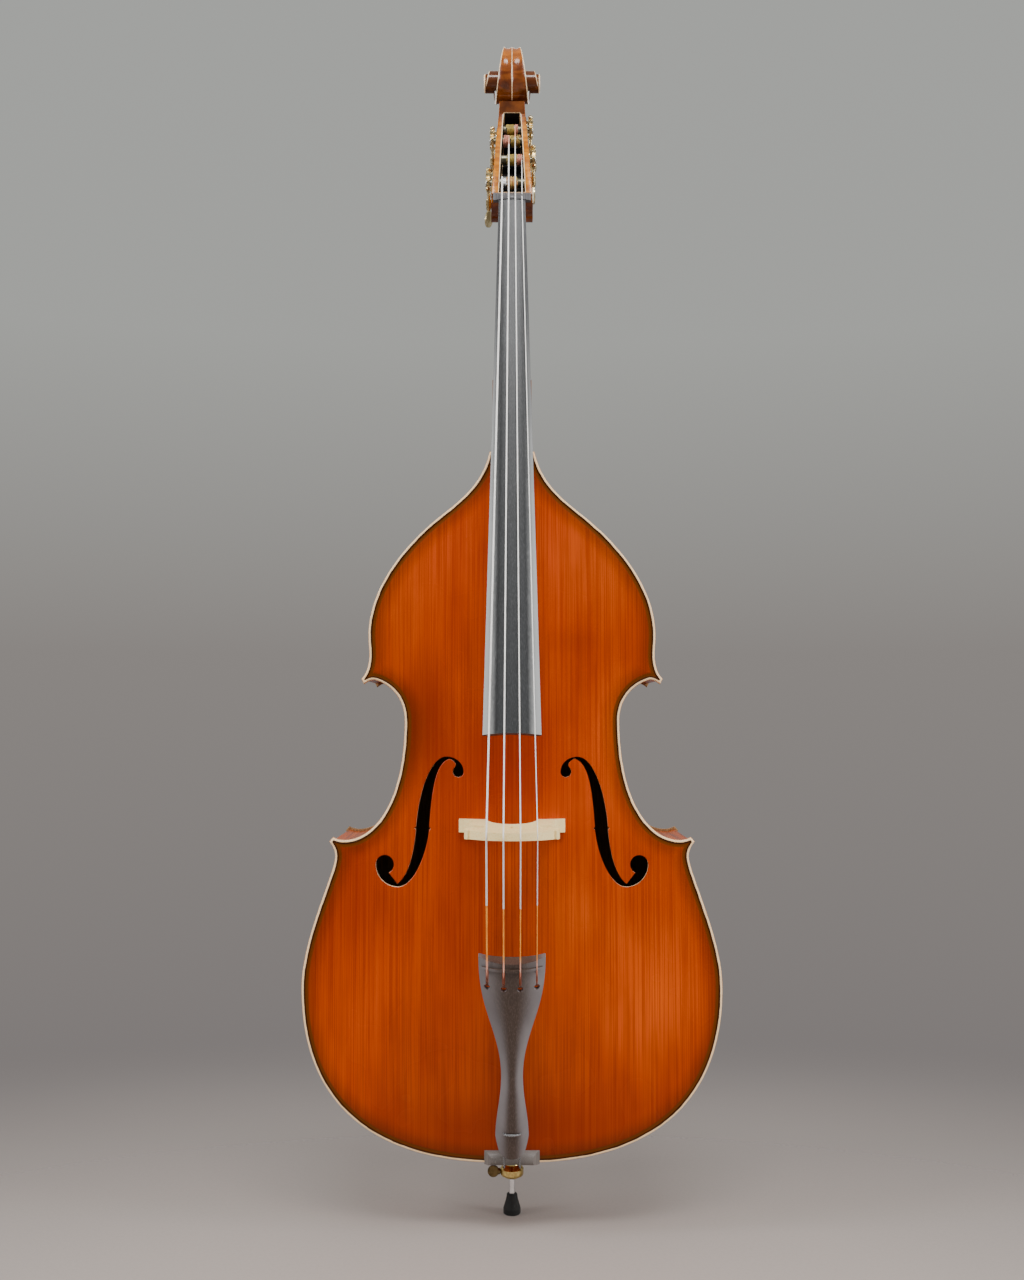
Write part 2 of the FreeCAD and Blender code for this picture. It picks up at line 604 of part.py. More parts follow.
def roller(k):
    """The string's axle: a thick drum between the cheeks and a stub that carries the wheel."""
    through_z = -2 * cheek_half(ROLLER_PLACES[k]) + 1.5
    drum = Part.makeCylinder(ROLLER_R, -0.8 - through_z, V(0, 0, through_z))
    stub = Part.makeCylinder(5, WORM_OUT - WHEEL_FACE / 2 + 1, V(0, 0, -1))
    nose = Part.makeCylinder(4, WHEEL_FACE + 1, V(0, 0, WORM_OUT - WHEEL_FACE / 2 - 1))
    tap = Part.makeCylinder(1.6, 8, V(0, 0, WORM_OUT + WHEEL_FACE / 2 - 7))
    return place_machine(fused(drum, stub, nose).cut(tap), k)


def machine_plate():
    """The plate on the cheek and its two bearing blocks, in the frame that lies on the cheek."""
    corners = [V(7, -18, 0), V(21, -8, 0), V(21, 9, 0), V(9, 26, 0), V(0, 25, 0), V(-5, 4, 0)]
    edge = Part.makePolygon(corners + corners[:1]).makeOffset2D(5.5, 0, False, False, False)
    plate = Part.Face(edge).extrude(V(0, 0, PLATE_T))
    feet = []
    for side in (-1, 1):
        foot = box((-4.2, 4.2), (-WORM_OUT + 0.6, 3.4), (side * 11.6 - 2.2, side * 11.6 + 2.2))
        nose = Part.makeCylinder(4.9, 4.4, V(0, 0, side * 11.6 - 2.2))
        feet.append(place_worm(fused(foot, nose)))
    return plate, feet


def plate_screw_places():
    return ((8, -19), (22, -8.5), (10.5, 26.5))


def machine_plates():
    """All four plates with their bearing blocks, bored for the rollers and the worms."""
    made = []
    for k in range(4):
        plate, feet = machine_plate()
        bores = [Part.makeCylinder(5 + ROLLER_PLAY, 30, V(0, 0, -5)),
                 place_worm(Part.makeCylinder(SHAFT_R + SHAFT_PLAY, 80, V(0, 0, -40)))]
        below = box((-60, 60), (-60, 60), (-20, 0))
        whole = place_machine(plate, k, CHEEK_TILT)
        whole = fused(whole, *[place_machine(foot, k) for foot in feet])
        whole = whole.cut([place_machine(bore, k) for bore in bores])
        whole = whole.cut([place_machine(below, k, CHEEK_TILT)])
        shanks = [place_machine(Part.makeCylinder(1.5, 20, V(x, y, -12)), k, CHEEK_TILT)
                  for x, y in plate_screw_places()]
        made.append(whole.cut(shanks))
    return Part.makeCompound(made)


def plate_screws():
    made = []
    for k in range(4):
        for x, y in plate_screw_places():
            head = Part.makeSphere(3.2, V(x, y, PLATE_T - 1.6))
            head = head.common(box((x - 4, x + 4), (y - 4, y + 4), (PLATE_T, 9)))
            head = head.cut(box((x - 4, x + 4), (y - 0.4, y + 0.4), (PLATE_T + 0.8, 9)))
            shank = Part.makeCylinder(1.5, SCREW_DEEP + PLATE_T, V(x, y, -SCREW_DEEP))
            made.append(place_machine(fused(head, shank), k, CHEEK_TILT))
    return Part.makeCompound(made)


def screw_holes():
    """Pilot holes in the cheeks for the plates' screws."""
    return [place_machine(Part.makeCylinder(1.5, SCREW_DEEP + 1, V(x, y, -SCREW_DEEP)), k, CHEEK_TILT)
            for k in range(4) for x, y in plate_screw_places()]


def worm(k):
    """The worm and its shaft, from a round finial above to the key's socket below."""
    turns = 3.5               # kept even about the middle, with a crest facing the wheel there
    length = turns * WORM_PITCH
    slack, flank = 0.6, math.tan(math.radians(20))
    helix = Part.makeHelix(WORM_PITCH, length, WORM_R)
    inner, outer = SHAFT_R - 0.25, WORM_R + 1.2

    def half(r):
        return (WORM_PITCH / 2 - slack) / 2 - (r - WORM_R) * flank
    profile = Part.makePolygon([V(inner, 0, -half(inner)), V(outer, 0, -half(outer)),
                                V(outer, 0, half(outer)), V(inner, 0, half(inner)),
                                V(inner, 0, -half(inner))])
    thread = Part.Wire(helix.Edges).makePipeShell([profile], True, True)
    thread.rotate(V(0, 0, 0), V(0, 0, 1), -180 * turns)
    thread.translate(V(0, 0, -length / 2))
    shaft = Part.makeCylinder(SHAFT_R, KEY_DROP - 22 + 15.5, V(0, 0, 22 - KEY_DROP))
    finial = Part.makeSphere(4.2, V(0, 0, 18.2))
    rings = [Part.makeCylinder(4.6, 1.2, V(0, 0, z)) for z in (-15.4, 14.2)]
    turned = fused(shaft, finial, *rings).fuse(thread)
    return place_machine(place_worm(turned), k)


def key(k):
    """The flat turning key: an oval blade on a hub that takes the shaft's lower end."""
    middle = -KEY_DROP
    outline_points = [
        [(2.6, middle + 16), (5, middle + 12), (KEY_HALF, middle + 10), (KEY_HALF, middle)],
        [(KEY_HALF, middle), (KEY_HALF, middle - 8), (7, middle - 13), (0, middle - 13)],
    ]
    other = [[(-x, z) for x, z in s] for s in outline_points]
    top = [[(2.6, middle + 16), (-2.6, middle + 16)]]
    blade = prism(wire_xz(outline_points + other + top), -1.3, 1.3)
    hub = Part.makeCone(3.4, 4.8, 5, V(0, 0, middle + 15)).fuse(
        Part.makeCylinder(4.8, 13, V(0, 0, middle + 20)))
    piece = fused(blade, hub)
    piece.rotate(V(0, 0, 0), V(0, 0, 1), KEY_TURNS[k])
    piece = piece.cut(Part.makeCylinder(SHAFT_R, 30, V(0, 0, 22 - KEY_DROP)))
    return place_machine(place_worm(piece), k)


# ---- strings, bridge and tailpiece -----------------------------------------------------------
def on_tail(shape):
    """From the tailpiece's own frame (origin at the middle of its wide end) into place."""
    shape.rotate(V(0, 0, 0), V(1, 0, 0), TAIL_SLOPE)
    shape.translate(V(0, TAIL_TOP_Y, TAIL_TOP_Z))
    return shape


def tail_point(x, y, z):
    a = math.radians(TAIL_SLOPE)
    return (x, TAIL_TOP_Y + y * math.cos(a) - z * math.sin(a),
            TAIL_TOP_Z + y * math.sin(a) + z * math.cos(a))


TAIL_HALF = ((-60, 66), (0, 50), (70, 43), (120, 28.5), (195, 16.5), (245, 20.5), (308, 25.7),
             (337, 26), (400, 26))


def tail_front(x, z):
    """Depth of the tailpiece's rounded front, z counted up from its wide end."""
    half = through(TAIL_HALF, -z)
    return (4 + 0.2 * half) * (x / half) ** 2


def tail_sheet(inset):
    xs = [-56 + 112 * i / 20 for i in range(21)]
    zs = [-TAIL_LENGTH - 8 + (TAIL_LENGTH + 20) * i / 30 for i in range(31)]
    surface = Part.BSplineSurface()
    surface.interpolate([[V(x, tail_front(x, z) + inset, z) for z in zs] for x in xs])
    return surface.toShape()


def tail_outline():
    half = [
        [(0, -6), (25, -6), (40, -3), (48.5, 0)],
        [(48.5, 0), (50, 0), (50, -2), (49.7, -4)],
        [(49.7, -4), (50, -92), (16.5, -122), (16.5, -195)],
        [(16.5, -195), (16.5, -245), (25.7, -262), (25.7, -308)],
        [(25.7, -308), (25.7, -326), (14, -TAIL_LENGTH), (0, -TAIL_LENGTH)],
    ]
    return wire_xz(half + [[(-x, z) for x, z in s] for s in half])


def tail_depth(down):
    """Thickness of the tailpiece at a distance below its wide end."""
    return TAIL_THICK - (TAIL_THICK - TAIL_THIN) * down / TAIL_LENGTH


def tail_fret():
    """The ridge across the tailpiece that the strings bend over."""
    bar = tail_sheet(-FRET_RISE).extrude(V(0, FRET_RISE + 1.5, 0))
    return on_tail(bar.common(box((-45, 45), (-20, 40), (-TAIL_FRET - 2.2, -TAIL_FRET + 2.2))))


def tailpiece():
    """A hollowed, tapering ebony tailpiece with keyhole slots and two holes for its wire."""
    solid = tail_sheet(0).extrude(V(0, 60, 0)).common(prism(tail_outline(), -30, TAIL_THICK))
    half = [(44.5, -9), (41.5, -54), (33, -86)]
    corners = [V(x, 0, z) for x, z in half] + [V(-x, 0, z) for x, z in half[::-1]]
    pocket_plan = Part.Face(Part.makePolygon(corners + corners[:1]))
    pocket = tail_sheet(TAIL_SHELL).extrude(V(0, 60, 0)).common(pocket_plan.extrude(V(0, 90, 0)))
    behind = polygon_x([(TAIL_THICK, 0), (tail_depth(TAIL_BEVEL), -TAIL_BEVEL),
                        (TAIL_TIP, -TAIL_LENGTH - 1), (60, -TAIL_LENGTH - 1), (60, 0)], -60, 60)
    cuts = [pocket, behind]
    for i, r in enumerate(STRING_RADII):
        x = string_x(i, STRING_GAP_BRIDGE)
        cuts.append(Part.makeCylinder(4.4, 60, V(x, -10, -KEYHOLE), V(0, 1, 0)))
        cuts.append(box((x - r - 0.5, x + r + 0.5), (-10, 50), (-KEYHOLE, -TAIL_FRET - 2.3)))
    for x in (-WIRE_HALF, WIRE_HALF):
        cuts.append(Part.makeCylinder(WIRE_R + WIRE_SLACK, 60, V(x, -10, -WIRE_HOLE), V(0, 1, 0)))
    return on_tail(solid.cut(cuts)).cut(tail_fret())


def string_x(i, gap):
    return (i - 1.5) * gap


def drop_on(radius, x):
    return radius - math.sqrt(radius ** 2 - x ** 2)


def string_points(i):
    """Corners of a string's path: ball, tailpiece ridge, bridge, nut, tangent to its roller."""
    r = STRING_RADII[i]
    wide, near = string_x(i, STRING_GAP_BRIDGE), string_x(i, STRING_GAP_NUT)
    ball = tail_point(wide, tail_front(wide, -KEYHOLE) + BALL_DEEP, -KEYHOLE - 2)
    ridge = tail_point(wide, tail_front(wide, -TAIL_FRET) - FRET_RISE - 0.6 * r, -TAIL_FRET)
    bridge = (wide, BRIDGE_Y + drop_on(BRIDGE_R, wide) - 0.6 * r, BRIDGE_Z)
    nut_y = BOARD_Y - NUT_RISE + drop_on(BOARD_R + NUT_RISE, near) - 0.6 * r
    reach = ROLLER_R + 3 * r + 0.3
    cy, cz = lean(ROLLER_PLACES[i], 0)
    dy, dz = cy - nut_y, cz - NUT_Z
    d = math.hypot(dy, dz)
    turn = math.asin(reach / d)
    run = math.sqrt(d * d - reach * reach) / d
    touch = (near, nut_y + run * (dy * math.cos(turn) - dz * math.sin(turn)),
             NUT_Z + run * (dy * math.sin(turn) + dz * math.cos(turn)))
    return [ball, ridge, bridge, (near, nut_y, NUT_Z), touch]


def string(i):
    """A string with its ball end."""
    r = STRING_RADII[i]
    points = string_points(i)
    wire = tube(points, r, [4.0, 10.0, 6.0])
    x, y, z = points[0]
    ball = Part.makeCylinder(3.2, 6, V(x - 3, y, z), V(1, 0, 0))
    return fused(wire, ball)


def winding(i):
    """The string's turns on its roller."""
    r = STRING_RADII[i]
    turns, side = WINDINGS[i]
    x = string_x(i, STRING_GAP_NUT)
    start = x - side * r
    ends = sorted((start, start + side * turns * 2 * r))
    y, z = lean(ROLLER_PLACES[i], 0)
    wide = ends[1] - ends[0]
    outer = Part.makeCylinder(ROLLER_R + 2 * r, wide, V(ends[0], y, z), V(1, 0, 0))
    bore = Part.makeCylinder(ROLLER_R + 0.03, wide + 2, V(ends[0] - 1, y, z), V(1, 0, 0))
    return outer.cut(bore)


def bridge(strings):
    """The bridge: two feet, an arch, side notches, a heart and a thin curved crown."""
    foot_y = FRONT_Y - TOP_ARCH

    def at(x, rise_up):
        return (x, 0, -rise_up)
    crown_side = drop_on(BRIDGE_R, 62)
    tall = foot_y - BRIDGE_Y
    half = [
        [(0, 56), (20, 56), (31, 38), (37, 16)],
        [(37, 16), (39, 8), (40, 2), (39, -14)],
        [(39, -14), (82.5, -14)],
        [(82.5, -14), (82.5, 0)],
        [(82.5, 0), (76, 5), (66, 4), (62, 17)],
        [(62, 17), (57, 34), (62, 52), (66, 62)],
        [(66, 62), (60, 74), (44, 66), (38, 76)],
        [(38, 76), (33, 86), (40, 100), (52, 94)],
        [(52, 94), (58, 92), (64, 96), (69, 104)],
        [(69, 104), (72, 116), (68, 132), (62, tall - crown_side)],
    ]
    other = [[(-x, z) for x, z in s] for s in half]
    crown = Part.Arc(V(-62, 0, tall - crown_side), V(0, 0, tall), V(62, 0, tall - crown_side))
    edges = [line(*s) if len(s) == 2 else bezier(*s) for s in half + other]
    face = Part.Face(Part.Wire(Part.__sortEdges__(edges + [crown.toShape()])))
    plate = face.extrude(V(0, 60, 0))
    heart_half = [
        [(0, 78), (6, 86), (17, 92), (17, 103)],
        [(17, 103), (17, 113), (3, 114), (0, 104)],
    ]
    heart = prism(wire_xz(heart_half + [[(-x, z) for x, z in s] for s in heart_half]), -1, 61)
    plate = plate.cut(heart)
    plate.translate(V(0, -30, 0))
    plate.rotate(V(0, 0, 0), V(1, 0, 0), 90)
    plate.translate(V(0, foot_y, BRIDGE_Z))
    lower, upper = BRIDGE_THICK / 2, BRIDGE_EDGE / 2
    side = polygon_x([(foot_y + 20, BRIDGE_Z - lower + 3), (foot_y + 20, BRIDGE_Z + lower + 3),
                      (BRIDGE_Y - 1, BRIDGE_Z + upper), (BRIDGE_Y - 1, BRIDGE_Z - upper)], -100, 100)
    shape = plate.common(side)
    return shape.cut([top_sheet(0).extrude(V(0, FAR, 0))] + strings)


def saddle():
    """The ridge of ebony at the bottom edge that carries the tailpiece's wire."""
    front, back = FRONT_Y - SADDLE_PROUD, FRONT_Y + 16
    low, high, bend = BODY_Z - 1, BODY_Z + SADDLE_HIGH, 6.0
    profile = polygon_x([(back, low), (front + bend, low),
                         ((front + bend * 0.45, low), (front, low + bend * 0.45), (front, low + bend)),
                         ((front, low + 12), (front + 6, high), (FRONT_Y + 1, high)),
                         (back, high)], -SADDLE_HALF, SADDLE_HALF)
    bevel = Part.Face(Part.makePolygon([
        V(-SADDLE_HALF, front - 1, low), V(-SADDLE_HALF + 12, front - 1, low),
        V(-SADDLE_HALF, FRONT_Y - 0.5, low), V(-SADDLE_HALF, front - 1, low)]))
    wedge = bevel.extrude(V(0, 0, 30))
    return profile.cut([wedge, mirrored(wedge)])


def tail_wire():
    """A cable through the tailpiece's two holes, over the saddle and around the plug."""
    def tail(x, y):
        return tail_point(x, y, -WIRE_HOLE)
    front = tail_front(WIRE_HALF, -WIRE_HOLE)
    corner_y, corner_z = FRONT_Y - SADDLE_PROUD - WIRE_R - 0.4, BODY_Z - 1 - WIRE_R - 0.4
    round_plug = (11.7, 11.7, BODY_Z - 5.5)
    half = [(-2.5, *tail(0, -WIRE_R - 0.6)[1:]), tail(-WIRE_HALF, front - WIRE_R - 0.6),
            tail(-WIRE_HALF, tail_depth(WIRE_HOLE) + 3), (-WIRE_HALF, corner_y, corner_z),
            (-round_plug[0], *round_plug[1:])]
    points = half + [(-x, y, z) for x, y, z in half[::-1]]
    loop = tube(points, WIRE_R, [2.2, 3.0, 7.5, 11.6, 11.6, 7.5, 3.0, 2.2])
    x, y, z = half[0]
    ferrule = Part.makeCylinder(WIRE_R + 0.4, -2 * x + 3, V(x - 1.5, y, z), V(1, 0, 0))
    return fused(loop, ferrule)


# ---- endpin ----------------------------------------------------------------------------------
def turned(points, bore=0.0):
    """A solid of revolution about the endpin's axis from (radius, height) points."""
    loop = [V(r, 0, z) for r, z in points]
    face = Part.Face(Part.makePolygon(loop + loop[:1]))
    solid = face.revolve(V(0, 0, 0), V(0, 0, 1), 360)
    if not bore:
        return solid
    low, high = points[0][1], points[-1][1]
    return solid.cut(Part.makeCylinder(bore, high - low + 2, V(0, 0, low - 1)))


def endpin_pieces():
    rod = Part.makeCylinder(PIN_R, PIN_TOP - 8, V(0, 0, 8))
    rod = rod.makeChamfer(1.5, [e for e in rod.Edges if e.BoundBox.ZMin > PIN_TOP - 1])
    foot = turned([(0, 0), (12.5, 0), (14, 1.5), (14, 9), (9.5, 24), (8.5, 31), (7.5, 32), (0, 32)])
    foot = foot.cut(Part.makeCylinder(PIN_R, 40, V(0, 0, 8)))
    bore = PIN_R + PIN_PLAY
    collar = turned([(0, 58), (12, 58), (14, 60), (18, 61.5), (19, 64), (19, 72), (17, 75),
                     (12.5, 79), (11, 84), (11.5, 89), (15, 92), (16.5, 95), (16.5, 101),
                     (15, 104), (0, 104)], bore)
    screw_bore = Part.makeCylinder(SCREW_R + PIN_PLAY, 30, V(-30, 0, SCREW_Z), V(1, 0, 0))
    collar = collar.cut(screw_bore)
    plug = turned([(0, 104), (15, 104), (15, 107), (9.8, 108.2), (9.8, 117), (PLUG_R, 118.5),
                   (PLUG_R, 152), (0, 152)], bore)
    return {"endpin_rod": rod, "endpin_foot": foot, "endpin_collar": collar, "endpin_plug": plug}


def endpin_screw():
    """The thumb screw that holds the rod, along -X, with a flat round tab to turn it by."""
    tip, grip, tab_r, tab = -PIN_R - 0.15, -22.0, 9.4, 4.4
    shank = Part.makeCylinder(SCREW_R, tip - grip, V(grip, 0, SCREW_Z), V(1, 0, 0))
    neck = Part.makeCylinder(5.0, 3.4, V(grip - 1, 0, SCREW_Z), V(1, 0, 0))
    disc = Part.makeCylinder(tab_r, tab, V(grip - tab_r + 1, -tab / 2, SCREW_Z), V(0, 1, 0))
    disc = disc.makeFillet(1.2, [e for e in disc.Edges if isinstance(e.Curve, Part.Circle)])
    return fused(disc, neck, shank)


# ---- the whole instrument --------------------------------------------------------------------
def build():
    wire = outline()
    away = inside_of_plates()
    rib = ribs(wire, away)
    room = prism(inset(wire, OVERHANG + RIB), -FAR / 2, FAR / 2).cut(away)
    block = blocks(room)
    strings = [string(i) for i in range(4)]
    nodes = {
        "top_plate": top_plate(wire),
        "back_plate": back_plate(wire),
        "top_block": block["top"],
        "bottom_block": block["bottom"],
        "corner_blocks": Part.makeCompound([block["low"], block["high"], mirrored(block["low"]),
                                            mirrored(block["high"])]),
        "linings_top": linings(wire, away, box((-400, 400), (-200, FRONT_Y + PLATE + 18), (0, 1300))),
        "linings_back": linings(wire, away, back_lining_range()),
        "bass_bar": bass_bar(away),
        "sound_post": sound_post(away),
        "neck_and_scroll": neck_and_scroll(),
        "fingerboard": fingerboard(),
        "nut": nut().cut(strings),
        "saddle": saddle(),
        "bridge": bridge(strings),
        "tailpiece": tailpiece(),
        "tail_fret": tail_fret().cut(strings),
        "tail_wire": tail_wire(),
        "endpin_screw": endpin_screw(),
        "machine_plates": machine_plates(),
        "plate_screws": plate_screws(),
    }
    for name, shape in rib.items():
        nodes["rib_%s_right" % name] = shape
        nodes["rib_%s_left" % name] = mirrored(shape)
    nodes.update(endpin_pieces())
    for k, name in enumerate(STRING_NAMES):
        nodes["string_" + name] = strings[k]
        nodes["worm_" + name] = worm(k)
        nodes["key_" + name] = key(k)
        nodes["wheel_" + name] = place_machine(wheel(), k)
        nodes["wheel_screw_" + name] = place_machine(wheel_screw(), k)
        nodes["roller_" + name] = roller(k)
        nodes["winding_" + name] = winding(k)
    return nodes


def main():
    os.makedirs("parts", exist_ok=True)
    for name, shape in build().items():
        shape.exportStep("parts/%s.step" % name)


main()
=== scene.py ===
"""The looks of a three-quarter double bass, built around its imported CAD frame.

Shapes are in millimetres until a mesh is made; materials, camera and lights are in metres. +Z
runs up the instrument, the strings face -Y and the bass side is -X. Each piece and each material
has its own function, and the last section calls them.
"""
import math

import bmesh
import bpy
import numpy as np
from mathutils import Matrix, Vector
from mathutils.geometry import delaunay_2d_cdt


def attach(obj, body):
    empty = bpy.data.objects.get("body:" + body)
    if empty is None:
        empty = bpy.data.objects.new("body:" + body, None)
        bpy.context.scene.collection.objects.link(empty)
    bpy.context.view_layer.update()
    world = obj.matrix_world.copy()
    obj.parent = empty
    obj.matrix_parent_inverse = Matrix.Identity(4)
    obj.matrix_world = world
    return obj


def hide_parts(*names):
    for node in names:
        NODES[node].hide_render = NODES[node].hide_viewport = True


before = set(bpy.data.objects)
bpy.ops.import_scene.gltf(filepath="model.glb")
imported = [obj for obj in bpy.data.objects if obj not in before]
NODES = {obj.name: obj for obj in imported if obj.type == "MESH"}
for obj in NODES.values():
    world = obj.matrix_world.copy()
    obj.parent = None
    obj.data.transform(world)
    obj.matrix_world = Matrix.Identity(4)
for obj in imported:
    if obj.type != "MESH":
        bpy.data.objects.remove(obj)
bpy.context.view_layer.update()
MM = 0.001

# ---- driving dimensions, the same as the CAD part's ------------------------------------------
BODY_Z, BODY_LENGTH = 116.0, 1118.0
LOWER_HALF, UPPER_HALF, WAIST_HALF = 330.0, 229.0, 170.5
FRONT_Y, BACK_Y, BACK_TAPER, PLATE = -105.0, 100.0, 28.0, 7.0
TOP_ARCH, BACK_ARCH = 33.0, 30.0
BUTTON = 21.0
ARCH_WIDTH = ((-60, 120), (0, 175), (60, 236), (150, 296), (262, 321), (400, 290), (500, 238),
              (590, 180), (670, 162), (750, 174), (830, 205), (900, 204), (960, 174),
              (1020, 112), (1080, 58), (1118, 42), (1180, 34))
ROLLER_Y, ROLLER_Z, ROLLER_R = -48.0, 1701.0, 8.0
ROLLER_PLACES = (0.0, 100.0, 127.0, 55.0)
ROLLER_SLOPE, CHEEK_TILT, CHEEK_HALF = 24.0, 3.5, 32.0
TROUGH_LOW, TROUGH_HIGH, TROUGH_DEEP = -28.0, 148.0, 17.6
WALL_LOW, WALL_HIGH = 9.5, 7.5
VOLUTE_Y, VOLUTE_Z = 15.0, 1906.0
STRING_NAMES = ("e", "a", "d", "g")

# ---- viewpoint (m, degrees) and floor (m) ----------------------------------------------------
EYE_BACK, EYE_HIGH, EYE_TIP, LENS = 2.083, 0.8056, 3.59, 34.99
FLOOR_RADIUS, FLOOR_SIDES = 3, 64


# ---- small helpers ---------------------------------------------------------------------------
def rise(t):
    """A smooth step from 0 to 1."""
    return (1 - np.cos(np.pi * np.clip(t, 0, 1))) / 2


def through(knots, z):
    """A smooth curve through (place, value) knots, read at z."""
    at, value = np.array(knots, float).T
    slope = np.zeros_like(at)
    slope[1:-1] = (value[2:] - value[:-2]) / (at[2:] - at[:-2])
    z = np.clip(z, at[1], at[-2])
    k = np.clip(np.searchsorted(at, z, side="right") - 1, 1, len(at) - 3)
    gap = at[k + 1] - at[k]
    t = (z - at[k]) / gap
    return ((2 * t ** 3 - 3 * t ** 2 + 1) * value[k] + (t ** 3 - 2 * t ** 2 + t) * slope[k] * gap
            + (3 * t ** 2 - 2 * t ** 3) * value[k + 1] + (t ** 3 - t ** 2) * slope[k + 1] * gap)


def arch(x, z, height):
    """Height of a plate's arching above its edge, z counted from the body's bottom."""
    across = np.minimum(np.abs(x) / through(ARCH_WIDTH, z), 1.0)
    along = rise(z / 300) * rise((BODY_LENGTH - z) / 330)
    return height * along * (1 + np.cos(np.pi * across)) / 2


def back_edge(z):
    return BACK_Y - BACK_TAPER * rise((z - 650) / 520)


def bezier(poles, count):
    """Points along a Bezier curve, without its last."""
    t = np.linspace(0, 1, count, endpoint=False)[:, None]
    n = len(poles) - 1
    return sum(math.comb(n, k) * t ** k * (1 - t) ** (n - k) * np.array(p, float)
               for k, p in enumerate(poles))


def sampled(segments, step):
    """Points along a chain of Bezier segments, about step apart, without the very last."""
    runs = []
    for poles in segments:
        length = sum(math.dist(a, b) for a, b in zip(poles, poles[1:]))
        runs.append(bezier(poles, max(int(round(length / step)), 2)))
    return np.concatenate(runs)


def make_piece(name, points, faces, materials, body="body", replaces=(), smooth=40.0):
    """A mesh object from points in millimetres, riding on a body."""
    mesh = bpy.data.meshes.new(name)
    mesh.from_pydata([tuple(p) for p in np.asarray(points) * MM], [], [list(f) for f in faces])
    mesh.validate()
    return finish_piece(name, mesh, materials, body, replaces, smooth)


def finish_piece(name, mesh, materials, body="body", replaces=(), smooth=40.0):
    piece = bpy.data.objects.new(name, mesh)
    bpy.context.scene.collection.objects.link(piece)
    for material in materials:
        mesh.materials.append(material)
    mesh.shade_smooth()
    mesh.set_sharp_from_angle(angle=math.radians(smooth))
    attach(piece, body)
    if replaces:
        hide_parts(*replaces)
    return piece


def lean(t, b):
    """(y, z) at t up the pegbox's line from the lowest roller and b towards its back."""
    a = math.radians(ROLLER_SLOPE)
    return (ROLLER_Y + t * math.sin(a) + b * math.cos(a),
            ROLLER_Z + t * math.cos(a) - b * math.sin(a))


def cheek_half(t):
    return CHEEK_HALF - t * math.tan(math.radians(CHEEK_TILT))


def fill_ramp(ramp, stops):
    """Gives a colour ramp its (place, colour) stops."""
    while len(ramp.elements) < len(stops):
        ramp.elements.new(0.5)
    for element, (at, colour) in zip(ramp.elements, stops):
        element.position = at
        element.color = (*colour, 1)


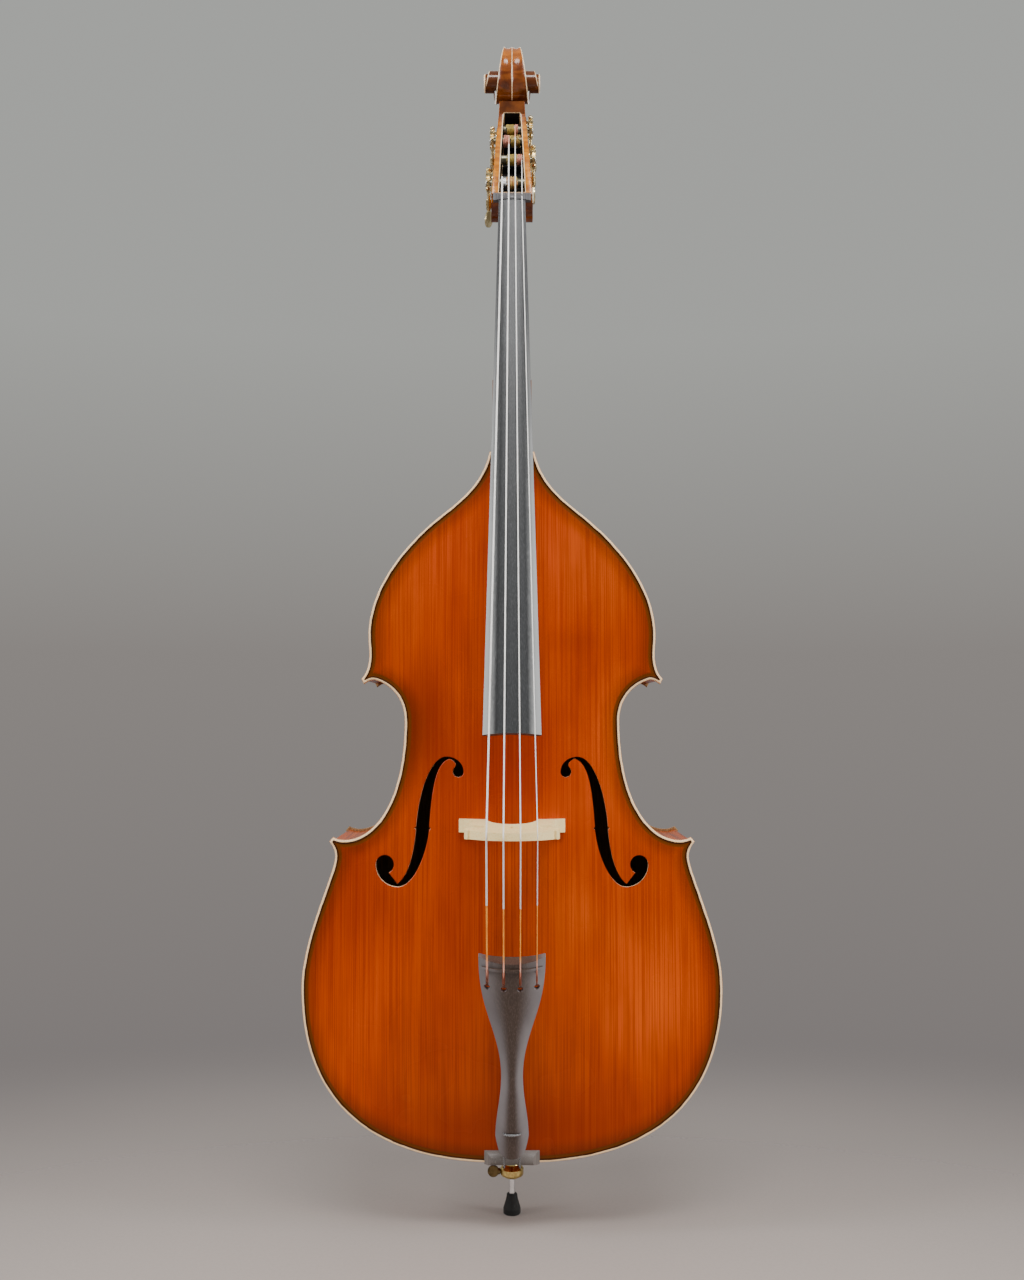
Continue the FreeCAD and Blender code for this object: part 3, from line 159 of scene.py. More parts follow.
# ---- materials -------------------------------------------------------------------------------
class Nodes:
    """A new material's node tree, with short ways to add and join its nodes."""

    def __init__(self, name):
        self.material = bpy.data.materials.new(name)
        self.material.use_nodes = True
        self.tree = self.material.node_tree
        self.shader = self.tree.nodes["Principled BSDF"]

    def add(self, kind, **settings):
        node = self.tree.nodes.new(kind)
        for key, value in settings.items():
            setattr(node, key, value)
        return node

    def join(self, source, target):
        self.tree.links.new(source, target)

    def value(self, target, source):
        """Sets a socket to a number or colour, or links it."""
        if hasattr(source, "links"):
            self.join(source, target)
        else:
            target.default_value = source

    def set(self, **inputs):
        for key, value in inputs.items():
            self.value(self.shader.inputs[key.replace("_", " ")], value)

    def place(self, scale=(1, 1, 1), shift=(0, 0, 0)):
        """Object coordinates in metres, scaled and then shifted."""
        coords = self.add("ShaderNodeTexCoord")
        mapping = self.add("ShaderNodeMapping")
        mapping.inputs["Scale"].default_value = scale
        mapping.inputs["Location"].default_value = shift
        self.join(coords.outputs["Object"], mapping.inputs["Vector"])
        return mapping.outputs["Vector"]

    def noise(self, scale=(1, 1, 1), detail=3.0, rough=0.5, distortion=0.0, shift=(0, 0, 0)):
        """Soft noise with about so many swells per metre along each axis."""
        node = self.add("ShaderNodeTexNoise")
        self.join(self.place(scale, shift), node.inputs["Vector"])
        node.inputs["Scale"].default_value = 1.0
        node.inputs["Detail"].default_value = detail
        node.inputs["Roughness"].default_value = rough
        node.inputs["Distortion"].default_value = distortion
        return node.outputs["Fac"]

    def attribute(self, name):
        return self.add("ShaderNodeAttribute", attribute_name=name).outputs["Fac"]

    def part(self, axis):
        """One object coordinate, in metres."""
        split = self.add("ShaderNodeSeparateXYZ")
        self.join(self.place(), split.inputs["Vector"])
        return split.outputs[axis]

    def ramp(self, source, *stops, smooth=True):
        """A colour that changes with a value, through (value, colour) stops."""
        node = self.add("ShaderNodeValToRGB")
        node.color_ramp.interpolation = "EASE" if smooth else "LINEAR"
        fill_ramp(node.color_ramp, stops)
        self.join(source, node.inputs["Fac"])
        return node.outputs["Color"]

    def span(self, source, low, high, to_low=0.0, to_high=1.0):
        """A smooth step from to_low to to_high while the source goes from low to high."""
        node = self.add("ShaderNodeMapRange", interpolation_type="SMOOTHSTEP")
        self.join(source, node.inputs["Value"])
        for key, value in (("From Min", low), ("From Max", high),
                           ("To Min", to_low), ("To Max", to_high)):
            node.inputs[key].default_value = value
        return node.outputs["Result"]

    def mix(self, factor, a, b):
        """Colour a where the factor is 0, and b where it is 1."""
        node = self.add("ShaderNodeMix", data_type="RGBA")
        self.value(node.inputs[0], factor)
        for socket, colour in ((node.inputs[6], a), (node.inputs[7], b)):
            self.value(socket, (*colour, 1) if isinstance(colour, tuple) else colour)
        return node.outputs[2]

    def math(self, kind, a, b=0.0):
        node = self.add("ShaderNodeMath", operation=kind)
        self.value(node.inputs[0], a)
        self.value(node.inputs[1], b)
        return node.outputs[0]

    def blob(self, centre, size):
        """1 at a centre (x, y, z in metres), falling to 0 at its size away."""
        scale = tuple(1 / s for s in size)
        shift = tuple(-c / s for c, s in zip(centre, size))
        length = self.add("ShaderNodeVectorMath", operation="LENGTH")
        self.join(self.place(scale, shift), length.inputs[0])
        return self.span(length.outputs["Value"], 0.0, 1.0, 1.0, 0.0)

    def bump(self, height, strength, distance, under=None):
        node = self.add("ShaderNodeBump")
        node.inputs["Strength"].default_value = strength
        node.inputs["Distance"].default_value = distance
        self.join(height, node.inputs["Height"])
        if under:
            self.join(under, node.inputs["Normal"])
        return node.outputs["Normal"]


CREAM, RIM_BROWN = (1.0, 0.70, 0.40), (0.55, 0.27, 0.13)
# dark varnish, also the painted shade in the channel; the brown of the painted channel shade
DARK_VARNISH_AND_SHADE, CHANNEL_SHADE_BROWN = (0.035, 0.008, 0.001), (0.115, 0.030, 0.001)


def with_edge_bands(m, colour):
    """Worn cream crest, dark purfling with painted shade of the channel beside it, and a darker border, by
    metres from the edge.
    """
    edge = m.attribute("edge")
    worn = m.math("ADD", edge, m.math("MULTIPLY", m.math(
        "SUBTRACT", m.noise((60, 60, 60), 2), 0.5), 0.0018))
    border = m.span(edge, 0.009, 0.036, 0.45, 0.0)
    colour = m.mix(border, colour, DARK_VARNISH_AND_SHADE)
    # a brown band of painted shade along the inner side of the channel
    band = m.span(edge, 0.0092, 0.0125, 0.92, 0.0)
    colour = m.mix(band, colour, CHANNEL_SHADE_BROWN)
    # the dark purfling line, widened with painted shade of the channel
    purfling_and_shade = m.math("MULTIPLY", m.span(worn, 0.0036, 0.0043), m.span(edge, 0.0052, 0.0072, 1.0, 0.0))
    colour = m.mix(purfling_and_shade, colour, DARK_VARNISH_AND_SHADE)
    crest = m.span(worn, 0.0032, 0.0041, 1.0, 0.0)
    colour = m.mix(crest, colour, CREAM)
    rim = m.span(worn, 0.0004, 0.0012, 1.0, 0.0)
    return m.mix(rim, colour, RIM_BROWN)


def varnished(m, colour, rough, heights):
    """Sets the shader as a clear glossy varnish over the wood."""
    m.set(Base_Color=colour, Roughness=rough, IOR=1.5, Specular_IOR_Level=0.14)
    m.set(Coat_Weight=0.07, Coat_Roughness=0.10, Coat_IOR=1.45)
    m.set(Normal=heights)


SPRUCE_TONES_AND_BOARD_SHADOW = (
    # centre, size (m), tint, strength: lighter gold and darker patches; the dark one just below the
    # fingerboard's end is its painted shadow
    ((0.14, -0.1, 1.06), (0.12, 0.6, 0.16), (0.56, 0.086, 0.0005), 0.55),
    ((-0.16, -0.1, 1.02), (0.11, 0.6, 0.17), (0.54, 0.066, 0.0004), 0.45),
    ((0.22, -0.1, 0.36), (0.13, 0.6, 0.16), (0.82, 0.116, 0.0004), 0.72),
    ((-0.24, -0.1, 0.33), (0.13, 0.6, 0.20), (0.70, 0.080, 0.0004), 0.55),
    ((0.17, -0.1, 0.80), (0.06, 0.6, 0.12), (0.84, 0.124, 0.0005), 0.55),
    # painted shadow of the fingerboard's end
    ((0.0, -0.1, 0.72), (0.10, 0.6, 0.13), (0.38, 0.027, 0.0002), 0.72),
    ((0.0, -0.1, 0.16), (0.36, 0.6, 0.12), (0.20, 0.013, 0.0002), 0.80),
    ((-0.14, -0.1, 0.79), (0.07, 0.6, 0.16), (0.17, 0.016, 0.0003), 0.75),
    ((0.10, -0.1, 0.93), (0.07, 0.6, 0.035), (0.26, 0.024, 0.0003), 0.35))


def spruce_varnish():
    """Orange-red varnish over fine upright grain, clouded, gold and darker in patches, with the
    fingerboard's shadow painted below its end.
    """
    m = Nodes("spruce_top")
    x = m.part("X")
    fine = m.noise((640, 30, 3.5), 2, 0.5, shift=(3.1, 0, 0.7))
    rings = m.noise((230, 12, 1.6), 2, 0.5, shift=(8.4, 0, 1.3))
    cloud = m.noise((5.5, 5.5, 3.0), 3, 0.5, 0.3, shift=(1.7, 0.4, 5.1))
    mottle = m.noise((30, 30, 9), 3, 0.5, shift=(4.2, 2.6, 0.9))
    colour = m.ramp(cloud, (0.25, (0.36, 0.030, 0.0003)), (0.50, (0.47, 0.050, 0.0004)),
                    (0.75, (0.58, 0.080, 0.0006)), smooth=False)
    # patches of tone, one of them a painted shadow
    for centre, size, tint, much in SPRUCE_TONES_AND_BOARD_SHADOW:
        colour = m.mix(m.math("MULTIPLY", m.blob(centre, size), much), colour, tint)
    colour = m.mix(m.span(fine, 0.40, 0.64, 0.0, 0.52), colour, (0.22, 0.013, 0.0002))
    colour = m.mix(m.span(rings, 0.45, 0.78, 0.0, 0.10), colour, (0.74, 0.125, 0.001))
    colour = m.mix(m.span(mottle, 0.35, 0.90, 0.0, 0.40), colour, (0.20, 0.013, 0.0003))
    seam = m.span(m.math("ABSOLUTE", x), 0.0, 0.0007, 0.30, 0.0)
    colour = with_edge_bands(m, m.mix(seam, colour, (0.12, 0.01, 0.001)))
    rough = m.span(m.noise((9, 9, 9), 2), 0.1, 0.9, 0.22, 0.32)
    height = m.bump(rings, 0.08, 0.0005, m.bump(fine, 0.12, 0.0004))
    varnished(m, colour, rough, height)
    return m.material


def flame(m, scale, shift):
    """The cross-grain curl of maple, as a soft band from 0 to 1."""
    return m.span(m.noise(scale, 2, 0.45, 0.5, shift=shift), 0.36, 0.64)


def maple_colour(m, curl, dark, light, pores):
    """Dark and light bands of curl, with the pores darker still."""
    colour = m.mix(curl, dark, light)
    return m.mix(m.span(pores, 0.55, 0.8, 0.0, 0.35), colour, tuple(c * 0.35 for c in dark))


def maple_back():
    m = Nodes("maple_back")
    x = m.part("X")
    curl = flame(m, (5, 5, 95), (0.3, 0, 2.2))
    pores = m.noise((420, 60, 22), 3, 0.5)
    colour = maple_colour(m, curl, (0.26, 0.030, 0.0006), (0.50, 0.085, 0.002), pores)
    cloud = m.noise((4, 4, 3), 3, 0.5, 0.4)
    colour = m.mix(m.span(cloud, 0.35, 0.7, 0.0, 0.5), colour, (0.20, 0.018, 0.0004))
    seam = m.span(m.math("ABSOLUTE", x), 0.0, 0.0008, 0.8, 0.0)
    colour = with_edge_bands(m, m.mix(seam, colour, (0.03, 0.006, 0.001)))
    varnished(m, colour, m.span(cloud, 0.3, 0.7, 0.18, 0.30), m.bump(pores, 0.10, 0.0004))
    return m.material


def maple_rib():
    m = Nodes("maple_rib")
    curl = flame(m, (85, 4, 85), (1.1, 0, 0.4))
    pores = m.noise((40, 320, 40), 3, 0.5)
    colour = maple_colour(m, curl, (0.24, 0.028, 0.0006), (0.47, 0.080, 0.002), pores)
    varnished(m, colour, m.span(curl, 0, 1, 0.20, 0.28), m.bump(pores, 0.10, 0.0004))
    return m.material


def maple_head():
    """Golden cheeks, a deep brown throat and foot, and a brown scroll that is gold on its crest; the
    throat's brown is partly painted shadow of the volute, and the volute's inner turns carry painted
    shade.
    """
    m = Nodes("maple_neck")
    z = m.part("Z")
    curl = flame(m, (28, 20, 120), (0.2, 0.5, 0.8))
    pores = m.noise((500, 300, 30), 3, 0.5)
    gold = maple_colour(m, curl, (0.36, 0.098, 0.0006), (0.58, 0.200, 0.001), pores)
    brown = maple_colour(m, curl, (0.13, 0.026, 0.003), (0.27, 0.068, 0.008), pores)
    crest = maple_colour(m, curl, (0.30, 0.075, 0.004), (0.47, 0.135, 0.008), pores)
    # brown from the top of the cheeks up: the scroll's own colour, and partly painted shadow of the volute
    # over the throat
    high = m.span(z, 1.800, 1.842)
    low = m.span(z, 1.655, 1.690, 1.0, 0.0)
    colour = m.mix(m.math("MAXIMUM", high, low), gold, brown)
    colour = m.mix(m.span(z, 1.905, 1.945), colour, crest)
    # painted shade on the volute's inner turns, beside its middle band
    inner_turn = m.span(m.math("ABSOLUTE", m.part("X")), 0.0225, 0.0245)
    shade = m.math("MULTIPLY", inner_turn, m.span(z, 1.850, 1.862, 0.0, 0.75))
    colour = m.mix(shade, colour, (0.060, 0.014, 0.001))
    worn = m.noise((30, 30, 30), 4, 0.6)
    colour = m.mix(m.span(worn, 0.50, 0.80, 0.0, 0.35), colour, (0.08, 0.014, 0.001))
    varnished(m, colour, m.span(worn, 0.3, 0.7, 0.16, 0.28), m.bump(pores, 0.12, 0.0004))
    m.set(Specular_IOR_Level=0.45, Coat_Weight=0.35)
    return m.material


def throat_varnish_and_shadow():
    """Thick dull varnish on the hollow under the scroll, darkened further with the volute's painted
    shadow.
    """
    m = Nodes("throat_varnish_and_shadow")
    cloud = m.noise((50, 50, 50), 3, 0.5)
    m.set(Base_Color=m.ramp(cloud, (0.3, (0.050, 0.011, 0.001)), (0.75, (0.14, 0.036, 0.003))),
          Roughness=0.6, Specular_IOR_Level=0.08)
    m.set(Normal=m.bump(cloud, 0.2, 0.0005))
    return m.material


def maple_eye():
    """The scroll's eyes: the darkest, least rubbed varnish."""
    m = Nodes("maple_eye")
    rings = m.noise((60, 260, 260), 3, 0.5, 0.3)
    colour = m.ramp(rings, (0.30, (0.055, 0.012, 0.001)), (0.75, (0.19, 0.050, 0.006)))
    varnished(m, colour, m.span(rings, 0.3, 0.7, 0.20, 0.34), m.bump(rings, 0.12, 0.0004))
    return m.material


def cream_wood():
    """Bare pale wood where the varnish has been rubbed through on an edge."""
    m = Nodes("worn_edge")
    grain = m.noise((300, 300, 30), 3, 0.5)
    m.set(Base_Color=m.ramp(grain, (0.3, (0.80, 0.54, 0.29)), (0.7, (0.96, 0.76, 0.52))),
          Roughness=0.34, Specular_IOR_Level=0.5, Coat_Weight=0.3, Coat_Roughness=0.2)
    m.set(Normal=m.bump(grain, 0.1, 0.0004))
    return m.material


def black_stain():
    m = Nodes("pegbox_stain")
    grain = m.noise((300, 300, 30), 3, 0.5)
    m.set(Base_Color=m.ramp(grain, (0.3, (0.004, 0.003, 0.003)), (0.8, (0.012, 0.008, 0.006))),
          Roughness=0.7, Specular_IOR_Level=0.2)
    m.set(Normal=m.bump(grain, 0.15, 0.0005))
    return m.material


def plate_inside():
    """Unvarnished inner face of a plate, brown with age."""
    m = Nodes("plate_inside")
    grain = m.noise((500, 500, 8), 3, 0.5)
    m.set(Base_Color=m.ramp(grain, (0.3, (0.20, 0.10, 0.04)), (0.8, (0.34, 0.19, 0.08))),
          Roughness=0.8, Specular_IOR_Level=0.2)
    m.set(Normal=m.bump(grain, 0.2, 0.0005))
    return m.material


def inner_wood():
    m = Nodes("inner_wood")
    grain = m.noise((480, 480, 10), 3, 0.5)
    colour = m.ramp(grain, (0.3, (0.30, 0.17, 0.07)), (0.75, (0.52, 0.34, 0.17)))
    m.set(Base_Color=colour, Roughness=m.span(grain, 0.3, 0.7, 0.6, 0.85), Specular_IOR_Level=0.25)
    m.set(Normal=m.bump(grain, 0.25, 0.0005))
    return m.material


def ebony(name, dark, light, rough_low, rough_high):
    """Ebony greyed by handling."""
    m = Nodes(name)
    grain = m.noise((900, 900, 16), 3, 0.55)
    dust = m.noise((9, 9, 5), 4, 0.6, 0.4)
    colour = m.mix(m.span(grain, 0.45, 0.8), dark, light)
    m.set(Base_Color=m.mix(m.span(dust, 0.4, 0.75, 0.0, 0.5), colour, light),
          Roughness=m.span(dust, 0.3, 0.7, rough_low, rough_high), Specular_IOR_Level=0.5)
    m.set(Normal=m.bump(grain, 0.15, 0.0004))
    return m.material


def ebony_with_painted_sheen(name, grain_scale, core, sheen_greys, flank_from, flank_to):
    """Ebony with a painted pale grey sheen where its rounded front turns away to the sides, standing in
    for the side lights' reflection.
    """
    m = Nodes(name)
    grain = m.noise(grain_scale, 3, 0.55)
    dust = m.noise((14, 14, 6), 3, 0.55, 0.3)
    split = m.add("ShaderNodeSeparateXYZ")
    m.join(m.add("ShaderNodeTexCoord").outputs["Normal"], split.inputs["Vector"])
    # painted sheen: the flanks are paler where they would reflect the side lights
    flank_sheen = m.span(m.math("ABSOLUTE", split.outputs["X"]), flank_from, flank_to)
    middle = m.mix(m.span(grain, 0.40, 0.80), *core)
    m.set(Base_Color=m.mix(flank_sheen, middle, m.mix(m.span(dust, 0.30, 0.75), *sheen_greys)),
          Roughness=m.span(dust, 0.2, 0.8, 0.34, 0.46), Specular_IOR_Level=0.5)
    m.set(Normal=m.bump(grain, 0.15, 0.0004))
    return m.material


def bridge_maple():
    m = Nodes("bridge_maple")
    flecks = m.noise((420, 60, 420), 3, 0.6, shift=(0.2, 0.4, 0.1))
    cloud = m.noise((30, 30, 30), 3, 0.5)
    colour = m.ramp(flecks, (0.30, (0.95, 0.66, 0.28)), (0.52, (1.00, 0.77, 0.36)),
                    (0.80, (1.00, 0.84, 0.46)))
    colour = m.mix(m.span(cloud, 0.45, 0.8, 0.0, 0.20), colour, (0.82, 0.62, 0.37))
    m.set(Base_Color=colour, Roughness=m.span(flecks, 0.3, 0.7, 0.42, 0.6), Specular_IOR_Level=0.4)
    m.set(Normal=m.bump(flecks, 0.15, 0.0004))
    return m.material


OVER_TAIL = (0.444, 0.458)      # heights between which the lower silk turns from pink to orange


def string_steel(name, silk_below, wrap_above):
    """Flat-wound steel with a silk wrap below the bridge and another just before its roller."""
    m = Nodes("string_steel_" + name)
    z = m.part("Z")
    wound = m.add("ShaderNodeTexWave", wave_type="BANDS", bands_direction="Z")
    m.join(m.place(), wound.inputs["Vector"])
    wound.inputs["Scale"].default_value = 420.0
    wound.inputs["Distortion"].default_value = 0.3
    rub = m.noise((200, 200, 40), 3, 0.5)
    steel = m.ramp(rub, (0.3, (0.92, 0.89, 0.85)), (0.7, (1.0, 0.98, 0.95)))
    orange = m.ramp(rub, (0.3, (0.92, 0.27, 0.025)), (0.7, (1.0, 0.40, 0.055)))
    pink = m.ramp(rub, (0.3, (0.74, 0.30, 0.20)), (0.7, (0.92, 0.46, 0.34)))
    low = m.span(z, silk_below - 0.0005, silk_below + 0.0005, 1.0, 0.0)
    over_tail = m.span(z, *OVER_TAIL, 1.0, 0.0)
    high = m.span(z, wrap_above - 0.0005, wrap_above + 0.0005)
    colour = m.mix(low, steel, m.mix(over_tail, orange, pink))
    colour = m.mix(high, colour, pink)
    cloth = m.math("MAXIMUM", low, high)
    m.set(Base_Color=colour, Metallic=m.span(cloth, 0, 1, 0.12, 0.0),
          Roughness=m.span(cloth, 0, 1, 0.34, 0.62))
    m.set(Normal=m.bump(wound.outputs["Fac"], 0.35, 0.0002))
    return m.material


def silk(name, dark, light):
    m = Nodes(name)
    twist = m.noise((900, 300, 300), 3, 0.6)
    m.set(Base_Color=m.ramp(twist, (0.3, dark), (0.7, light)), Roughness=0.55,
          Sheen_Weight=0.3, Sheen_Roughness=0.4, Specular_IOR_Level=0.4)
    m.set(Normal=m.bump(twist, 0.3, 0.0003))
    return m.material


def metal(name, dark, light, rough_low, rough_high, brush=(300, 300, 300), bump=0.08):
    """A lightly tarnished metal: the darker tint gathers in soft patches."""
    m = Nodes(name)
    patch = m.noise((60, 60, 60), 4, 0.6, 0.3)
    lines = m.noise(brush, 3, 0.5)
    m.set(Base_Color=m.ramp(patch, (0.32, dark), (0.62, light)), Metallic=1.0,
          Roughness=m.span(lines, 0.3, 0.7, rough_low, rough_high))
    m.set(Normal=m.bump(lines, bump, 0.0002))
    return m.material


def stranded_cable():
    m = Nodes("steel_cable")
    strand = m.add("ShaderNodeTexWave", wave_type="BANDS", bands_direction="DIAGONAL")
    m.join(m.place(), strand.inputs["Vector"])
    strand.inputs["Scale"].default_value = 260.0
    m.set(Base_Color=m.ramp(strand.outputs["Fac"], (0.2, (0.05, 0.05, 0.05)),
                            (0.8, (0.42, 0.42, 0.43))), Metallic=0.9, Roughness=0.38)
    m.set(Normal=m.bump(strand.outputs["Fac"], 0.6, 0.0005))
    return m.material


def rubber():
    m = Nodes("foot_rubber")
    grit = m.noise((700, 700, 700), 3, 0.6)
    scuff = m.noise((90, 90, 30), 4, 0.6)
    colour = m.mix(m.span(scuff, 0.5, 0.75, 0.0, 0.6), (0.012, 0.012, 0.012), (0.06, 0.058, 0.055))
    m.set(Base_Color=colour, Roughness=m.span(scuff, 0.3, 0.7, 0.55, 0.85), Specular_IOR_Level=0.35)
    m.set(Normal=m.bump(grit, 0.25, 0.0003))
    return m.material


def floor_paint():
    """Pale matt paint, clear away from the middle so that no far edge shows."""
    m = Nodes("studio_floor")
    fleck = m.noise((180, 180, 180), 3, 0.6)
    m.set(Base_Color=m.mix(m.span(fleck, 0.4, 0.7, 0.0, 0.12), (0.40, 0.345, 0.315), (0.27, 0.24, 0.22)),
          Roughness=0.6, Specular_IOR_Level=0.2, Alpha=m.blob((0.0, -0.5, 0.0), (2.6, 1.7, 1.0)))
    m.set(Normal=m.bump(fleck, 0.1, 0.0005))
    return m.material


# ---- plates ----------------------------------------------------------------------------------
def half_outline():
    """Right half of the body's outline from the bottom up, z counted from the body's bottom."""
    low, up, waist = LOWER_HALF, UPPER_HALF, WAIST_HALF
    return [
        [(0, 0), (60, 0), (low, -10), (low, 270)],
        [(low, 270), (low, 345), (279, 446), (279, 472)],
        [(279, 472), (279, 482), (285, 490), (288.5, 495)],
        [(288.5, 495), (282.5, 502)],
        [(282.5, 502), (277, 499), (271, 497.5), (265, 497.5)],
        [(265, 497.5), (220, 497.5), (waist, 553), (waist, 684)],
        [(waist, 684), (waist, 736), (214, 750), (220, 750)],
        [(220, 750), (226, 750), (231, 747), (235.5, 743)],
        [(235.5, 743), (240, 752)],
        [(240, 752), (233, 758), (227.5, 772), (227.5, 790)],
        [(227.5, 790), (227.5, 800), (up, 809), (up, 822)],
        [(up, 822), (up, 900), (169, 969), (119, 1010)],
        [(119, 1010), (77, 1044), (48, 1066), (36, BODY_LENGTH)],
    ]


CORNERS = ((285.5, 498.5), (237.5, 747.5))

# How closely a plate's plan is sampled, and how far from an edge each set of points stays (mm).
OUTLINE_STEP, HOLE_STEP, TIP_STEP, FIELD_STEP = 3.0, 2.6, 1.3, 7.5
EDGE_ROWS, HOLE_ROWS = (0.5, 1.2, 2.2, 3.4, 4.2, 5.2, 6.8, 8.6, 11.0, 14.5), (0.6, 1.6, 3.2)
TIP_BOX, TIP_REACH, TIP_INSET = 17, 15, 0.6
FIELD_INSET, HOLE_INSET = 18.5, 4.2
PAST = 5    # how far the field's grid starts outside the plate


def closed_outline(top_half):
    """The whole outline as a closed loop of points; top_half is the right half of its top end."""
    right = sampled(half_outline() + top_half, OUTLINE_STEP)
    left = right[::-1] * (-1, 1)
    keep = np.abs(left[:, 0]) > 1e-6
    return np.concatenate([right, [(0.0, top_half[-1][-1][1])], left[keep]])


def f_hole_loop(side):
    """One sound hole's edge as a closed loop; side is 1 for the right and -1 for the left."""
    def arc(centre, radius, start, end):
        a = np.radians(np.linspace(start, end, 14, endpoint=False))[:, None]
        return np.array(centre) + radius * np.hstack([np.cos(a), np.sin(a)])
    runs = [
        [(76, 721.5), (76, 735), (88, 744.8), (103, 744.8)],
        [(103, 744.8), (128, 745), (147, 693), (151, 635)],
        [(151, 635), (154, 633)],
        [(154, 633), (151, 631)],
        [(151, 631), (153.5, 600), (160, 562), (179.4, 546.3)],
        [(179.4, 546.3), (193.5, 563.1)],
    ]
    rest = [
        [(214.5, 576), (214.5, 556), (198, 541.4), (179.4, 541.4)],
        [(179.4, 541.4), (155, 541.4), (134, 590), (130, 631)],
        [(130, 631), (127, 633)],
        [(127, 633), (130, 635)],
        [(130, 635), (126.5, 690), (122, 735), (98.4, 741.5)],
        [(98.4, 741.5), (94, 740), (88, 736), (88.5, 731)],
        [(88.5, 731), (89.5, 728.4), (93.1, 727), (93.1, 721.5)],
    ]
    pool = arc((200, 576), 14.5, 243.4, 0.0)
    eye = arc((84.5, 721.5), 8.6, 0.0, -180.0)
    loop = np.concatenate([sampled(runs, HOLE_STEP), pool, sampled(rest, HOLE_STEP), eye])
    return loop * (side, 1) - (0, BODY_Z)


def edge_distance(points, loop):
    """Distance from each point to the nearest place on a closed loop."""
    best = np.full(len(points), 1e9)
    for a, b in zip(loop, np.roll(loop, -1, axis=0)):
        run = b - a
        t = np.clip(((points - a) @ run) / max(run @ run, 1e-9), 0, 1)
        best = np.minimum(best, np.linalg.norm(points - a - t[:, None] * run, axis=1))
    return best


def inside(points, loop):
    """True for the points inside a closed loop."""
    found = np.zeros(len(points), bool)
    x, z = points.T
    for (x0, z0), (x1, z1) in zip(loop, np.roll(loop, -1, axis=0)):
        if z0 != z1:
            found ^= ((z0 > z) != (z1 > z)) & (x < (x1 - x0) * (z - z0) / (z1 - z0) + x0)
    return found


def inward_rows(loop, distances, keep=0.96):
    """Copies of a loop's points moved inwards, without those that come too near another part."""
    ahead, behind = np.roll(loop, -1, axis=0), np.roll(loop, 1, axis=0)
    along = ahead - behind
    normal = np.stack([-along[:, 1], along[:, 0]], axis=1)
    normal /= np.linalg.norm(normal, axis=1)[:, None]
    rows = []
    for d in distances:
        moved = loop + normal * d
        rows.append(moved[edge_distance(moved, loop) > d * keep])
    return np.concatenate(rows)


def grid(x0, x1, z0, z1, step):
    """Points in rows that are set off from each other by half a step."""
    xs, zs = np.meshgrid(np.arange(x0, x1, step), np.arange(z0, z1, step))
    xs = xs + (np.arange(len(xs)) % 2)[:, None] * step / 2
    return np.stack([xs.ravel(), zs.ravel()], axis=1)


def from_tips(points):
    """Distance from each point to the nearest corner tip."""
    return np.min([np.hypot(np.abs(points[:, 0]) - x, points[:, 1] - z) for x, z in CORNERS], axis=0)


def plan_points(outline):
    """Points within an outline: rows along its edge, a fine grid at each tip, a coarse field."""
    rows = inward_rows(outline, EDGE_ROWS)
    tips = np.concatenate([grid(s * x - TIP_BOX, s * x + TIP_BOX, z - TIP_BOX, z + TIP_BOX, TIP_STEP)
                           for x, z in CORNERS for s in (-1, 1)])
    inset = edge_distance(tips, outline) > TIP_INSET
    tips = tips[inside(tips, outline) & inset & (from_tips(tips) < TIP_REACH)]
    wide = np.abs(outline[:, 0]).max() + PAST
    field = grid(-wide, wide, -PAST, BODY_LENGTH + BUTTON + PAST, FIELD_STEP)
    field = field[inside(field, outline)]
    field = field[edge_distance(field, outline) > FIELD_INSET]
    return [rows[from_tips(rows) > TIP_REACH - 0.5], tips, field]


def plate_mesh(outline, holes):
    """Points, triangles and edge distances of a plate's plan, dense along its edges."""
    parts = plan_points(outline)
    for hole in holes:
        parts = [p[~inside(p, hole) & (edge_distance(p, hole) > HOLE_INSET)] for p in parts]
    parts += [inward_rows(hole[::-1], HOLE_ROWS, 0.9) for hole in holes]
    corners, edges = [], []
    for loop in [outline] + holes:
        start = len(corners)
        corners.extend(loop)
        edges += [(start + i, start + (i + 1) % len(loop)) for i in range(len(loop))]
    everything = np.concatenate([np.array(corners)] + parts)
    result = delaunay_2d_cdt([Vector(p) for p in everything], edges, [], 0, 1e-5)
    points = np.array([tuple(p) for p in result[0]])
    triangles = np.array(result[2])
    middle = points[triangles].mean(axis=1)
    good = inside(middle, outline)
    for hole in holes:
        good &= ~inside(middle, hole)
    triangles = triangles[good]
    used = np.unique(triangles)
    renumber = np.zeros(len(points), int)
    renumber[used] = np.arange(len(used))
    return points[used], renumber[triangles], edge_distance(points[used], outline)


def rounding(d, radius):
    """How far a rounded edge has dropped at a distance from the rim."""
    inner = np.clip(radius - d, 0, radius)
    return radius - np.sqrt(radius ** 2 - inner ** 2)


def boundary_loops(triangles):
    """Directed edges that belong to one triangle only."""
    seen = {}
    for a, b, c in triangles:
        for e in ((a, b), (b, c), (c, a)):
            seen[e] = True
    return [e for e in seen if (e[1], e[0]) not in seen]


RIM_OUT, RIM_IN, HOLE_RIM = 3.2, 1.4, 1.0         # radii of a plate's rounded edges
CHANNEL_DEEP, CHANNEL_IN, CHANNEL_WIDE = 0.9, 7.5, 2.6    # the hollow beside the rim
NO_EDGE = 50.0      # stands for a place far from any edge


